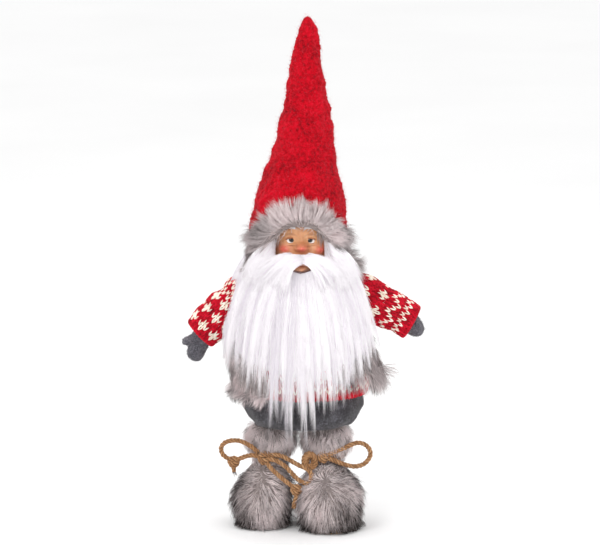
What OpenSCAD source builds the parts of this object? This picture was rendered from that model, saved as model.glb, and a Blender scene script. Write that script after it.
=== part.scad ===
// Standing tomte gnome: a stuffed figure on two weighted fur boots, with posable arms, mittens and hat.
// The figure faces -Y, its own left is +X, and the floor is z = 0 between the boots.

/* [Body] */
// Distance from the figure's centre line back to the axis of the round belly
torso_y = 6; // [4:1:8]
// Radius of the plywood board that the legs and the spine are screwed to
hip_board_r = 46; // [42:1:47]
// Thickness of the plywood hip board
hip_board_t = 8; // [6:1:8]
// Distance from the centre line forward to the spine dowel
spine_y = -4; // [-6:1:-3]
// Diameter of the spine dowel
spine_d = 10; // [8:1:11]

/* [Legs] */
// Sideways place of the figure's right leg
right_leg_x = -30; // [-32:1:-28]
// Sideways place of the figure's left leg
left_leg_x = 24; // [22:1:28]
// Diameter of the leg dowels
leg_d = 12; // [10:1:12]
// Height of the twine wraps above the floor
tie_z = 70; // [69:0.5:71]
// Diameter of the jute twine
twine_d = 4.5; // [4:0.5:5]

/* [Boots] */
// Sideways centre of the right boot
right_boot_x = -38; // [-40:1:-36]
// Radius of the right boot's rounded heel and toe
right_boot_r = 25; // [24:0.5:26]
// Distance that the right boot's toe reaches beyond its heel
right_boot_reach = 24; // [20:1:26]
// Sideways centre of the left boot
left_boot_x = 27; // [26:1:29]
// Radius of the left boot's rounded heel and toe
left_boot_r = 28; // [27:0.5:29]
// Distance that the left boot's toe reaches beyond its heel
left_boot_reach = 34; // [30:1:36]
// Thickness of the sole boards
sole_t = 4; // [3:0.5:4]

/* [Arms] */
// Half the distance between the shoulders' bending points
shoulder_x = 56; // [55:1:57]
// Height of the shoulders' bending points
shoulder_z = 228; // [227:1:229]
// Radius of the stuffed sleeves
sleeve_r = 19; // [18:0.5:19]
// Length of a sleeve from the shoulder's bending point to the cuff
sleeve_len = 58; // [56:1:60]
// Angle of the left arm below the horizontal
left_drop = 30; // [24:1:32]
// Angle of the right arm below the horizontal
right_drop = 43; // [40:1:43]
// Distance from the shoulder to the wrist's bending point
wrist_at = 51; // [50:1:52]
// Downward bend of the left mitten
left_bend = 10; // [4:1:12]
// Downward bend of the right mitten
right_bend = 24; // [20:1:26]
// Length of the left mitten past its bending point
left_hand_len = 23; // [22:1:28]
// Length of the right mitten past its bending point
right_hand_len = 35; // [30:1:36]

/* [Head and hat] */
// Distance from the centre line forward to the middle of the head
head_y = -10; // [-12:1:-9]
// Height at which the hat's wire bends
bend_z = 402; // [400:1:404]
// Sideways place of the point where the hat's wire bends
bend_x = 4; // [3:1:5]
// Sideways lean of the hat's lower part
hat_lean = 3; // [2:0.5:4]
// Radius of the hat where its wire bends
bend_r = 24; // [23:0.5:24]
// Forward tilt of the hat's brim, which is higher over the face than at the nape
brim_tilt = 26; // [24:1:28]

/* [Hidden] */
$fn = 72;
hull_fn = 28;
hand_fn = 24;
cord_sides = 8;
gap = 0.2;
cloth_t = 2.5;
wire_d = 2;
left = 1;
right = -1;

felt_red = "#c8001e";
knit_red = "#d0102a";
fur_grey = "#b9aeaa";
hair_white = "#f4f1f4";
felt_grey = "#56545a";
felt_charcoal = "#46444a";
jute = "#b98350";
skin = "#c98a5e";
birch = "#d8b98a";
steel = "#8d9095";
filling = "#f0eee6";

// Heights of the trunk
trousers_z = 97;
board_z = trousers_z + 6.5;
board_top = board_z + hip_board_t;
bag_top = board_top + 26;
neck_z = 246;
hip_hole_r = leg_d / 2 + 0.6;

// Outlines of the trunk as radius and height
trousers_line = [[38, 97], [50, 101], [56, 109], [57, 118], [54.5, 126], [53, 130], [53, 140]];
sweater_line = [[56.8, 131], [58, 134], [61, 146], [65, 160], [66, 172], [62.5, 186], [55, 199],
                [46, 211], [38.5, 224], [31, 236], [24, 243], [20, neck_z]];
vest_in = [[58.4, 118], [58.6, 131], [61.6, 146], [65.6, 160], [66.6, 172], [63.2, 186], [55.8, 199],
           [46.8, 211], [39.3, 224], [35, 231]];
vest_out = [[63, 118], [66, 122], [68, 134], [70, 146], [72.5, 160], [73, 172], [69, 186], [61, 199],
            [52, 211], [45.5, 224], [41, 231], [37, 233]];
beard_in = [[60.5, 104], [67, 120], [70, 134], [72.5, 146], [74.5, 160], [74.5, 172], [70.5, 186],
            [63, 199], [56, 211], [53, 224], [51, 240], [50, 262]];
beard_out = [[65, 104], [76, 120], [81, 134], [84, 150], [85.5, 165], [85, 178], [82, 192],
             [77, 206], [71, 222], [65, 240], [58, 262]];
// Front view of the beard, with the gap for the lower lip at its top
beard_front = [[-30, 262], [-9, 262], [-7, 255], [7, 255], [9, 262], [30, 262], [56, 254], [68, 236],
               [74, 205], [72, 170], [64, 142], [38, 120], [8, 104], [-12, 104], [-44, 118],
               [-66, 142], [-76, 172], [-76, 205], [-68, 236], [-56, 254]];
beard_back_y = -18;

// Fur collar round the neck
collar_z = 252.5;
collar_ring_r = 34.5;
collar_r = 11;

// Outline of the head
head_line = [[0, 254], [14, 254], [21, 258], [27, 266], [29.5, 277], [29.5, 290], [26, 304],
             [17, 313], [0, 316]];
neck_r = 13;
neck_base_z = 236;

// Outlines of the hat measured from the bending point
hat_low_line = [[50, -150], [47.5, -112], [44.5, -92], [40, -70], [33.5, -46], [30.5, -33], [27.5, -21],
                [26.4, -14]];
hat_up_line = [[bend_r, 0], [22.8, 8], [19.5, 20], [17.8, 32], [15.5, 50], [12.6, 67], [8.7, 85],
               [5, 93], [2.5, 96.3], [0, 97.2]];
socket_gap = 0.4;
brim_pivot = [-2, -6, 297];
band_drop = 6;
band_ring_r = 43;
band_r = 12.5;

// Arm and hand
left_lower = 10;
left_raise = 45;
right_lower = 5;
right_raise = 50;
shoulder_y = 3;
sleeve_t = 2.2;
filling_end = wrist_at - 12;
hand_r = 9.5;
mitten_t = 1.6;

// Boots and legs
leg_y_right = 4;
leg_y_left = 0;
right_heel_y = 10;
left_heel_y = 1;
ankle_r = 15;
boot_top = 65;
fur_t = 3;
weight_t = 8;
shaft_line = [[18, 66.5], [ankle_r, 68.5], [ankle_r, 72], [20, 77], [22, 84], [21, 92], [18, 96.3]];
tie_r = ankle_r + twine_d / 2;

// Routes of the free twine, in order from the knot on the ankle
bow_right_route = [[-37, -19, 69], [-43, -19, 70.5], [-49, -18, 71], [-55, -17, 69.5], [-61, -16, 67],
                   [-67, -15, 66], [-73, -15, 68], [-77.5, -14, 72.5], [-78, -14, 78.5], [-74, -14, 83],
                   [-68, -15, 85], [-61, -16, 85], [-54, -17, 82.5], [-48, -18, 79], [-42, -19, 74]];
front_loop_route = [[-33, -22, 68], [-27, -23, 67.5], [-21, -24, 65], [-15, -26, 61], [-10, -28, 56],
                    [-5, -30, 51], [0, -31, 47.5], [5, -33.5, 46.5], [9, -33, 50], [9, -31, 56],
                    [4.5, -28, 60], [-2, -26, 62.5], [-9, -24, 66], [-16, -22, 69.5], [-23, -20, 71.5],
                    [-30, -20, 71.5]];
tail_route = [[-34, -22, 65], [-31, -24, 61], [-27, -26, 57], [-22, -28, 53], [-17, -30, 49],
              [-12, -32, 45.5], [-7, -33, 42], [-4.5, -34, 37], [-5.5, -35, 32], [-7, -35, 27],
              [-7.5, -35, 22]];
bow_left_route = [[25, -22, 72], [30, -22, 74], [36, -21, 76.5], [42, -20, 79], [48, -19, 81.5],
                  [54, -17, 83], [60, -16, 82], [65, -15, 78], [67, -15, 72], [65, -15, 66],
                  [60, -16, 61.5], [53, -18, 60], [46, -20, 61], [39, -21, 63.5], [32, -22, 66.5],
                  [26, -23, 69]];
coil_at = [8, -20, 66];
coil_r = 5.6;
knot_at_left = [21, -20.5, 70];
knot_at_right = [-36, -18, 69];
knot_at_bow = [-66, -15, 64];
knot_at_tail = [-5, -33.5, 40];
knot_r = 5;

function unit(v) = v / norm(v);
function tangent(route, i) = unit(route[min(i + 1, len(route) - 1)] - route[max(i - 1, 0)]);
function ring_axis(route, i) = unit(cross(tangent(route, i), [0, 1, 0]));
function ring_point(route, i, r, angle) =
    route[i] + r * (cos(angle) * ring_axis(route, i)
                    + sin(angle) * cross(tangent(route, i), ring_axis(route, i)));
function inset(line, d) = [for (p = line) [max(p[0] - d, 0), p[1]]];
function reversed(line) = [for (i = [len(line) - 1:-1:0]) line[i]];

// A round tube with one ring at each point of its route
module tube(route, d) {
    n = cord_sides;
    last = len(route) - 1;
    points = [for (i = [0:last]) for (k = [0:n - 1]) ring_point(route, i, d / 2, 360 * k / n)];
    walls = [for (i = [0:last - 1]) for (k = [0:n - 1])
             [i * n + k, i * n + (k + 1) % n, (i + 1) * n + (k + 1) % n, (i + 1) * n + k]];
    start_cap = [for (k = [n - 1:-1:0]) k];
    end_cap = [for (k = [0:n - 1]) last * n + k];
    polyhedron(points, concat(walls, [start_cap], [end_cap]), convexity = 4);
}

// A shell of revolution between two outlines
module revolved_shell(outer, inner) {
    rotate_extrude() polygon(concat(outer, reversed(inner)));
}

// A solid of revolution that fills an outline down to its lowest height
module revolved_solid(line) {
    rotate_extrude() polygon(concat([[0, line[0][1]]], line, [[0, line[len(line) - 1][1]]]));
}

module ring(ring_r, r) {
    rotate_extrude() translate([ring_r, 0]) circle(r);
}

module at_torso() {
    translate([0, torso_y, 0]) children();
}

// Places an arm's parts: their own +X runs from the shoulder to the cuff
module at_shoulder(side, drop) {
    translate([side * shoulder_x, shoulder_y, shoulder_z])
        mirror([side < 0 ? 1 : 0, 0, 0])
            rotate([0, drop, 0]) children();
}

module at_wrist(side, drop, bend) {
    at_shoulder(side, drop) translate([wrist_at, 0, 0]) rotate([0, bend, 0]) children();
}

module along_x() {
    rotate([0, 90, 0]) children();
}

// Room for an arm between its lowest and its highest angle below the horizontal
module arm_space(side, lowest, highest) {
    half = sleeve_r + 1;
    far = sleeve_len + 20;
    low_edge = half * [-sin(lowest), -cos(lowest)];
    high_edge = half * [sin(highest), cos(highest)];
    at_shoulder(side, 0) {
        sphere(half + 0.4);
        rotate([90, 0, 0]) linear_extrude(2 * half, center = true)
            polygon([low_edge, low_edge + far * [cos(lowest), -sin(lowest)],
                     high_edge + far * [cos(highest), -sin(highest)], high_edge]);
    }
}

module both_arm_spaces() {
    arm_space(left, left_drop + left_lower, left_drop - left_raise);
    arm_space(right, right_drop + right_lower, right_drop - right_raise);
}

// ---- frame inside the figure ----

module hip_board() color(birch)
    difference() {
        at_torso() translate([0, 0, board_z]) cylinder(h = hip_board_t, r = hip_board_r);
        hip_screw_set(gap / 2);
    }

module leg_dowel(x, y) color(birch)
    difference() {
        translate([x, y, sole_t + gap]) cylinder(h = board_z - sole_t - 2 * gap, d = leg_d);
        hip_screw_set(gap / 2);
    }
module leg_dowel_left() leg_dowel(left_leg_x, leg_y_left);
module leg_dowel_right() leg_dowel(right_leg_x, leg_y_right);

module spine_dowel() color(birch)
    difference() {
        translate([0, spine_y, board_top + gap]) cylinder(h = 262 - board_top - gap, d = spine_d);
        hip_screw_set(gap / 2);
    }

// A countersunk screw that points down, with its head's face at z = 0
module screw(grow) {
    shank_r = 1.75 + grow;
    head_r = 3.6 + grow;
    translate([0, 0, -30]) cylinder(h = 30 - grow, r = shank_r);
    translate([0, 0, -3]) cylinder(h = 3 + grow, r1 = shank_r, r2 = head_r);
}

module hip_screw_set(grow) {
    translate([left_leg_x, leg_y_left, board_top - 0.1]) screw(grow);
    translate([right_leg_x, leg_y_right, board_top - 0.1]) screw(grow);
    translate([0, spine_y, board_z + 0.1]) mirror([0, 0, 1]) screw(grow);
}
module hip_screws() color(steel) hip_screw_set(0);

module pellet_bag() color(filling)
    difference() {
        at_torso() revolved_solid([[44, board_top + gap], [48, board_top + 4], [49.5, board_top + 12],
                                   [48.5, bag_top - 5], [43, bag_top]]);
        translate([0, spine_y, 0]) cylinder(h = neck_z, d = spine_d + 2 * gap);
    }

module body_stuffing() color(filling)
    difference() {
        at_torso() revolved_solid(concat([[44, bag_top + gap], [50, 141]],
                                         [for (p = inset(sweater_line, cloth_t + gap)) if (p[1] > 141) p]));
        translate([0, spine_y, 0]) cylinder(h = neck_z + 4, d = spine_d + 2 * gap);
        shoulder_wire_rod(wire_d / 2 + gap);
        neck_space();
        both_arm_spaces();
    }

// Room for the head's neck in the top of the trunk
module neck_space() {
    translate([0, spine_y, neck_base_z - gap]) cylinder(h = 20, r = neck_r + 2 * gap);
}

module shoulder_wire_rod(r) {
    reach = shoulder_x - sleeve_r - 5;
    translate([-reach, shoulder_y, shoulder_z]) along_x() cylinder(h = 2 * reach, r = r);
}
module shoulder_wire() color(steel) shoulder_wire_rod(wire_d / 2);

// ---- clothes on the trunk ----

module sweater_body() color(knit_red)
    difference() {
        at_torso() revolved_shell(sweater_line, inset(sweater_line, cloth_t));
        neck_space();
        both_arm_spaces();
    }

module trousers() color(felt_charcoal)
    difference() {
        at_torso() rotate_extrude() polygon(concat(
            [[0, trousers_z]], trousers_line, reversed(inset(trousers_line, cloth_t)),
            [[34, trousers_z + cloth_t], [0, trousers_z + cloth_t]]));
        translate([left_leg_x, leg_y_left, 0]) cylinder(h = trousers_z + 4, r = hip_hole_r);
        translate([right_leg_x, leg_y_right, 0]) cylinder(h = trousers_z + 4, r = hip_hole_r);
    }

// A wedge that opens a garment at the front
module front_opening(half_angle) {
    far = 120;
    at_torso() linear_extrude(neck_z + 40)
        polygon([[0, 0], [-far * tan(half_angle), -far], [far * tan(half_angle), -far]]);
}

module fur_vest() color(fur_grey)
    difference() {
        at_torso() revolved_shell(vest_out, vest_in);
        front_opening(34);
        both_arm_spaces();
    }

module collar_ring(grow) {
    at_torso() translate([0, 0, collar_z]) ring(collar_ring_r, collar_r + grow);
}

module fur_collar() color(fur_grey)
    difference() {
        collar_ring(0);
        front_opening(48);
        head_form(2 * gap);
    }

// ---- head and hair ----

module head_form(grow) {
    translate([0, head_y, 0]) revolved_solid([for (p = head_line) [p[0] + grow, p[1] + (p[1] > 300 ? grow : 0)]]);
    translate([0, spine_y, neck_base_z]) cylinder(h = 30, r = neck_r + grow);
    translate([0, head_y - 31, 281]) sphere(5.5 + grow);
}

module head() color(skin)
    difference() {
        head_form(0);
        translate([0, head_y, 0]) revolved_solid([[0, 262.5], [16, 262.5], [24, 269], [26.5, 279], [26.5, 290],
                                                  [23, 302], [15, 310], [0, 313]]);
        translate([0, spine_y, 230]) cylinder(h = 40, d = spine_d + 2 * gap);
    }

module neck_tie() color(jute)
    translate([0, spine_y, neck_z + 2]) ring(neck_r + 1.7, 1.5);

module beard() color(hair_white)
    intersection() {
        at_torso() revolved_shell(beard_out, beard_in);
        translate([0, beard_back_y, 0]) rotate([90, 0, 0]) linear_extrude(90) polygon(beard_front);
    }

module moustache() color(hair_white)
    difference() {
        hull() {
            for (side = [left, right]) {
                translate([side * 3, -48, 270]) sphere(5, $fn = hull_fn);
                translate([side * 26, -42, 266.5]) sphere(3.5, $fn = hull_fn);
            }
        }
        head_form(0.4);
        translate([-60, -90, 200]) cube([120, 90, 62.4]);
    }

// ---- hat ----

module at_bend(lean) {
    translate([bend_x, brim_pivot[1], bend_z]) rotate([0, lean, 0]) children();
}

// Everything above the brim's tilted plane
module above_brim(rise) {
    translate(brim_pivot) rotate([-brim_tilt, 0, 0]) translate([-80, -90, rise]) cube([160, 180, 200]);
}

module hat_lower() color(felt_red)
    intersection() {
        difference() {
            at_bend(hat_lean) revolved_shell(hat_low_line, inset(hat_low_line, cloth_t));
            at_bend(0) sphere(bend_r + socket_gap);
        }
        above_brim(gap);
    }

module hat_stuffing_lower() color(filling)
    difference() {
        intersection() {
            at_bend(hat_lean) revolved_solid(inset(hat_low_line, cloth_t + gap));
            translate([-80, -90, 303]) cube([160, 180, 120]);
            above_brim(gap);
        }
        at_bend(0) sphere(bend_r + socket_gap);
        head_form(0.5);
        at_bend(hat_lean) translate([0, 0, -84]) cylinder(h = 84, r = wire_d / 2 + gap);
    }

module hat_wire_lower() color(steel)
    at_bend(hat_lean) translate([0, 0, -83]) cylinder(h = 83 - bend_r - 1, d = wire_d);

module hat_up_form(d) {
    sphere(bend_r - d);
    revolved_solid(inset([for (p = hat_up_line) [p[0], p[1] - (p[1] > 90 ? d : 0)]], d));
}

module hat_upper() color(felt_red)
    at_bend(1) difference() {
        hat_up_form(0);
        hat_up_form(cloth_t);
    }

module hat_stuffing_upper() color(filling)
    at_bend(1) difference() {
        hat_up_form(cloth_t + gap);
        hat_wire_up_rod(wire_d / 2 + gap);
    }

module hat_wire_up_rod(r) {
    translate([0, 0, -bend_r + cloth_t + 1]) cylinder(h = bend_r + 60, r = r);
}
module hat_wire_upper() color(steel) at_bend(1) hat_wire_up_rod(wire_d / 2);

module hat_band() color(fur_grey)
    difference() {
        translate(brim_pivot) rotate([-brim_tilt, 0, 0]) translate([0, 0, -band_drop]) ring(band_ring_r, band_r);
        above_brim(0);
        head_form(0.4);
        collar_ring(2 * gap);
    }

// ---- legs and boots ----

module leg_fur(x, y) color(fur_grey)
    translate([x, y, 0]) difference() {
        revolved_solid(shaft_line);
        cylinder(h = 120, d = leg_d + 2 * gap);
    }
module leg_fur_left() leg_fur(left_leg_x, leg_y_left);
module leg_fur_right() leg_fur(right_leg_x, leg_y_right);

// The boot's rounded form: heel and toe, and the ankle under the twine
module boot_form(boot_x, heel_y, reach, r, leg_x, leg_y, d) {
    hull() {
        translate([boot_x, heel_y, r + 1]) sphere(r - d, $fn = hull_fn);
        translate([boot_x, heel_y - reach, r + 1]) sphere(r - d, $fn = hull_fn);
        for (y = [heel_y, heel_y - reach])
            translate([boot_x, y, 1 + d]) cylinder(h = 8 - d, r = r - 5 - d, $fn = hull_fn);
        translate([leg_x, leg_y, boot_top - 8]) cylinder(h = 8 - d, r = ankle_r + 2 - d, $fn = hull_fn);
    }
}
module right_boot_form(d) {
    boot_form(right_boot_x, right_heel_y, right_boot_reach, right_boot_r, right_leg_x, leg_y_right, d);
}
module left_boot_form(d) {
    boot_form(left_boot_x, left_heel_y, left_boot_reach, left_boot_r, left_leg_x, leg_y_left, d);
}

// A flat plate with round ends that runs from the heel to the toe
module boot_plate(boot_x, heel_y, reach, r, t) {
    translate([boot_x, heel_y, 0]) cylinder(h = t, r = r);
    translate([boot_x, heel_y - reach, 0]) cylinder(h = t, r = r);
    translate([boot_x - r, heel_y - reach, 0]) cube([2 * r, reach, t]);
}
module right_plate(inset_d, t) {
    boot_plate(right_boot_x, right_heel_y, right_boot_reach, right_boot_r - inset_d, t);
}
module left_plate(inset_d, t) {
    boot_plate(left_boot_x, left_heel_y, left_boot_reach, left_boot_r - inset_d, t);
}
sole_inset = 9;
weight_inset = 10.5;
stuffing_z = sole_t + weight_t + 2 * gap;

module sole_left() color(birch) left_plate(sole_inset, sole_t);
module sole_right() color(birch) right_plate(sole_inset, sole_t);

module boot_weight_left() color(steel)
    difference() {
        translate([0, 0, sole_t + gap]) left_plate(weight_inset, weight_t);
        translate([left_leg_x, leg_y_left, 0]) cylinder(h = 30, d = leg_d + 2 * gap);
    }
module boot_weight_right() color(steel)
    difference() {
        translate([0, 0, sole_t + gap]) right_plate(weight_inset, weight_t);
        translate([right_leg_x, leg_y_right, 0]) cylinder(h = 30, d = leg_d + 2 * gap);
    }

module boot_fur_left() color(fur_grey)
    difference() {
        left_boot_form(0);
        left_boot_form(fur_t);
        translate([0, 0, -1]) left_plate(sole_inset - gap, sole_t + 3);
        translate([left_leg_x, leg_y_left, boot_top - 9]) cylinder(h = 12, d = leg_d + 2 * gap);
    }
module boot_fur_right() color(fur_grey)
    difference() {
        right_boot_form(0);
        right_boot_form(fur_t);
        translate([0, 0, -1]) right_plate(sole_inset - gap, sole_t + 3);
        translate([right_leg_x, leg_y_right, boot_top - 9]) cylinder(h = 12, d = leg_d + 2 * gap);
    }

module boot_stuffing_left() color(filling)
    difference() {
        left_boot_form(fur_t + gap);
        translate([-98, -103, -1]) cube([200, 200, stuffing_z + 1]);
        translate([left_leg_x, leg_y_left, 0]) cylinder(h = 80, d = leg_d + 2 * gap);
    }
module boot_stuffing_right() color(filling)
    difference() {
        right_boot_form(fur_t + gap);
        translate([-98, -103, -1]) cube([200, 200, stuffing_z + 1]);
        translate([right_leg_x, leg_y_right, 0]) cylinder(h = 80, d = leg_d + 2 * gap);
    }

// ---- twine ----

module twine_wrap(x, y) color(jute)
    for (turn = [-0.5, 0.5])
        translate([x, y, tie_z + turn * twine_d]) ring(tie_r + gap, twine_d / 2);
module twine_wrap_left() twine_wrap(left_leg_x, leg_y_left);
module twine_wrap_right() twine_wrap(right_leg_x, leg_y_right);

module twine_bow_left() color(jute) tube(bow_left_route, twine_d);
module twine_bow_right() color(jute) tube(bow_right_route, twine_d);
module twine_front_loop() color(jute) tube(front_loop_route, twine_d);
module twine_tail() color(jute) tube(tail_route, twine_d);

module twine_coil_left() color(jute)
    translate(coil_at) rotate([90, 0, 0]) {
        ring(coil_r, twine_d / 2);
        sphere(coil_r - twine_d / 2 + 0.6);
    }

module knot_left() color(jute) translate(knot_at_left) sphere(knot_r);
module knot_right() color(jute) translate(knot_at_right) sphere(knot_r);
module knot_bow_right() color(jute) {
    translate(knot_at_bow) sphere(knot_r - 0.5);
    translate(knot_at_bow - [0, 0, 10]) cylinder(h = 8, d = twine_d);
}
module knot_tail() color(jute) translate(knot_at_tail) sphere(knot_r - 0.5);

// ---- arms ----

module sleeve(side, drop) color(knit_red)
    at_shoulder(side, drop) difference() {
        union() {
            sphere(sleeve_r);
            along_x() cylinder(h = sleeve_len, r = sleeve_r);
        }
        sphere(sleeve_r - sleeve_t);
        along_x() cylinder(h = sleeve_len + 1, r = sleeve_r - sleeve_t);
    }
module sleeve_left() sleeve(left, left_drop);
module sleeve_right() sleeve(right, right_drop);

module arm_stuffing(side, drop) color(filling)
    at_shoulder(side, drop) difference() {
        union() {
            sphere(sleeve_r - sleeve_t - gap);
            along_x() cylinder(h = filling_end, r = sleeve_r - sleeve_t - gap);
        }
        arm_rod(wire_d / 2 + gap / 2);
    }
module arm_stuffing_left() arm_stuffing(left, left_drop);
module arm_stuffing_right() arm_stuffing(right, right_drop);

module arm_rod(r) {
    start = -sleeve_r + sleeve_t + 2;
    translate([start, 0, 0]) along_x() cylinder(h = filling_end - start + 0.5, r = r);
}
module arm_wire_left() color(steel) at_shoulder(left, left_drop) arm_rod(wire_d / 2);
module arm_wire_right() color(steel) at_shoulder(right, right_drop) arm_rod(wire_d / 2);

// A mitten's rounded form with its thumb on the upper side
module hand_form(reach, d) {
    hull() {
        sphere(hand_r - d, $fn = hand_fn);
        translate([reach - 16, 0, 0]) sphere(hand_r - d, $fn = hand_fn);
        translate([reach - 7.5, 0, 0]) sphere(7.5 - d, $fn = hand_fn);
    }
}
module thumb_form(reach) {
    hull() {
        translate([reach - 21, -1, 5]) sphere(4.6, $fn = hand_fn);
        translate([reach - 16, -3, 16.3]) sphere(3.8, $fn = hand_fn);
    }
}

module mitten(side, drop, bend, reach) color(felt_grey)
    at_wrist(side, drop, bend) difference() {
        union() {
            hand_form(reach, 0);
            if (reach > 30)
                thumb_form(reach);
        }
        hand_form(reach, mitten_t);
    }
module mitten_left() mitten(left, left_drop, left_bend, left_hand_len);
module mitten_right() mitten(right, right_drop, right_bend, right_hand_len);

module hand_stuffing(side, drop, bend, reach) color(filling)
    at_wrist(side, drop, bend) difference() {
        hand_form(reach, mitten_t + gap);
        hand_rod(reach, wire_d / 2 + gap / 2);
    }
module hand_stuffing_left() hand_stuffing(left, left_drop, left_bend, left_hand_len);
module hand_stuffing_right() hand_stuffing(right, right_drop, right_bend, right_hand_len);

module hand_rod(reach, r) {
    translate([-6, 0, 0]) along_x() cylinder(h = reach - 5, r = r);
}
module hand_wire_left() color(steel)
    at_wrist(left, left_drop, left_bend) hand_rod(left_hand_len, wire_d / 2);
module hand_wire_right() color(steel)
    at_wrist(right, right_drop, right_bend) hand_rod(right_hand_len, wire_d / 2);

hip_board();
leg_dowel_left();
leg_dowel_right();
spine_dowel();
hip_screws();
pellet_bag();
body_stuffing();
shoulder_wire();
sweater_body();
trousers();
fur_vest();
fur_collar();
head();
neck_tie();
beard();
moustache();
hat_band();
hat_lower();
hat_stuffing_lower();
hat_wire_lower();
hat_upper();
hat_stuffing_upper();
hat_wire_upper();
leg_fur_left();
leg_fur_right();
boot_fur_left();
boot_fur_right();
boot_stuffing_left();
boot_stuffing_right();
boot_weight_left();
boot_weight_right();
sole_left();
sole_right();
twine_wrap_left();
twine_wrap_right();
twine_bow_left();
twine_bow_right();
twine_front_loop();
twine_tail();
twine_coil_left();
knot_left();
knot_right();
knot_bow_right();
knot_tail();
sleeve_left();
sleeve_right();
arm_stuffing_left();
arm_stuffing_right();
arm_wire_left();
arm_wire_right();
mitten_left();
mitten_right();
hand_stuffing_left();
hand_stuffing_right();
hand_wire_left();
hand_wire_right();
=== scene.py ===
import math

import bpy
import numpy as np
from mathutils.bvhtree import BVHTree
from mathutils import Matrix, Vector


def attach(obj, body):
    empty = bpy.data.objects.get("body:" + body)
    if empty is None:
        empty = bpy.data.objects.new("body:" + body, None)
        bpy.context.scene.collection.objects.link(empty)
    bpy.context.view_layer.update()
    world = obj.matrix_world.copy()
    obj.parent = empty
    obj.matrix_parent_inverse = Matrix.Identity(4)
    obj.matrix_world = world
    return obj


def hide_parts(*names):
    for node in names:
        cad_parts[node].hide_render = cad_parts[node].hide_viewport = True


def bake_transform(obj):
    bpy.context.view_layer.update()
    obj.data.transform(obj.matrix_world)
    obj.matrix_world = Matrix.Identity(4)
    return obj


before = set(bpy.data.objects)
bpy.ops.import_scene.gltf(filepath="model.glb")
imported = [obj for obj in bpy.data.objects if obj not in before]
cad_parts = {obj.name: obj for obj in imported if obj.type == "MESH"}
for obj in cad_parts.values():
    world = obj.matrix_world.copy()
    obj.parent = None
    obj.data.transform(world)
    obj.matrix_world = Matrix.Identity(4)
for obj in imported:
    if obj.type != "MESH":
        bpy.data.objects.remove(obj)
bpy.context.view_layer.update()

MM = 0.001  # lengths below are in millimetres, and meshes are made in metres
DOWN = np.array([0.0, 0.0, -1.0])


# ---- small helpers ----

def unit(v):
    return v / np.maximum(np.linalg.norm(v, axis=-1, keepdims=True), 1e-9)


def lerp(a, b, t):
    return a + (b - a) * t


def step(low, high, x):
    """0 below low, 1 above high, and smooth in between."""
    t = np.clip((x - low) / (high - low), 0, 1)
    return t * t * (3 - 2 * t)


def eased(x, xs, ys, reach):
    """A table's value with its corners rounded over reach."""
    offsets = np.linspace(-1, 1, 9)
    weights = np.exp(-2 * offsets**2)
    return sum(w * np.interp(x + reach * s, xs, ys) for s, w in zip(offsets, weights)) / weights.sum()


def noise(points, pitch, seed, waves=28):
    """A smooth random field, about -1 to 1, with bumps about pitch apart."""
    draw = np.random.default_rng(seed)
    k = unit(draw.normal(size=(waves, 3))) * draw.uniform(0.6, 1.5, (waves, 1)) * 2 * np.pi / pitch
    phase = draw.uniform(0, 2 * np.pi, waves)
    return np.sin(points @ k.T + phase).sum(1) / math.sqrt(waves / 2) * 0.6


def smooth_line(points, count):
    """count points evenly along a smooth curve through the given ones."""
    p = np.array(points, float)
    p = np.vstack([2 * p[0] - p[1], p, 2 * p[-1] - p[-2]])
    out = []
    t = np.linspace(0, 1, 12, endpoint=False)[:, None]
    for a, b, c, d in zip(p[:-3], p[1:-2], p[2:-1], p[3:]):
        out.append(0.5 * (2 * b + (c - a) * t + (2 * a - 5 * b + 4 * c - d) * t**2
                          + (3 * b - a - 3 * c + d) * t**3))
    line = np.vstack(out + [p[-2:-1]])
    along = np.concatenate([[0], np.cumsum(np.linalg.norm(np.diff(line, axis=0), axis=1))])
    at = np.linspace(0, along[-1], count)
    return np.stack([np.interp(at, along, line[:, i]) for i in range(3)], 1)


def length_of(line):
    return float(np.linalg.norm(np.diff(line, axis=0), axis=1).sum())


def make(name, points, faces, materials, values=None):
    """A mesh object from points in millimetres and a list of face arrays."""
    mesh = bpy.data.meshes.new(name)
    mesh.vertices.add(len(points))
    mesh.vertices.foreach_set("co", (np.asarray(points) * MM).astype(np.float32).ravel())
    faces = [np.asarray(f) for f in faces if len(f)]
    corners = np.concatenate([f.ravel() for f in faces]).astype(np.int32)
    sizes = np.concatenate([np.full(len(f), f.shape[1]) for f in faces])
    mesh.loops.add(len(corners))
    mesh.loops.foreach_set("vertex_index", corners)
    mesh.polygons.add(len(sizes))
    starts = np.concatenate([[0], np.cumsum(sizes)[:-1]]).astype(np.int32)
    mesh.polygons.foreach_set("loop_start", starts)
    mesh.polygons.foreach_set("use_smooth", np.full(len(sizes), True))
    mesh.update(calc_edges=True)
    for key, array in (values or {}).items():
        mesh.attributes.new(key, "FLOAT", "POINT").data.foreach_set("value", np.asarray(array, np.float32))
    for m in materials:
        mesh.materials.append(m)
    obj = bpy.data.objects.new(name, mesh)
    bpy.context.scene.collection.objects.link(obj)
    return obj


def place(obj, body, slot, *nodes):
    """Rides obj on its body and hides the CAD nodes it stands for. slot is not used."""
    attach(obj, body)
    if nodes:
        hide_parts(*nodes)
    return obj


def grid(rows, cols, flip=False):
    """Quads over rows x cols points, numbered row by row, where each row closes on itself."""
    r, c = np.meshgrid(np.arange(rows - 1), np.arange(cols), indexing="ij")
    d = (c + 1) % cols
    quads = np.stack([r * cols + c, r * cols + d, (r + 1) * cols + d, (r + 1) * cols + c], -1).reshape(-1, 4)
    return quads[:, ::-1] if flip else quads


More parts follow.
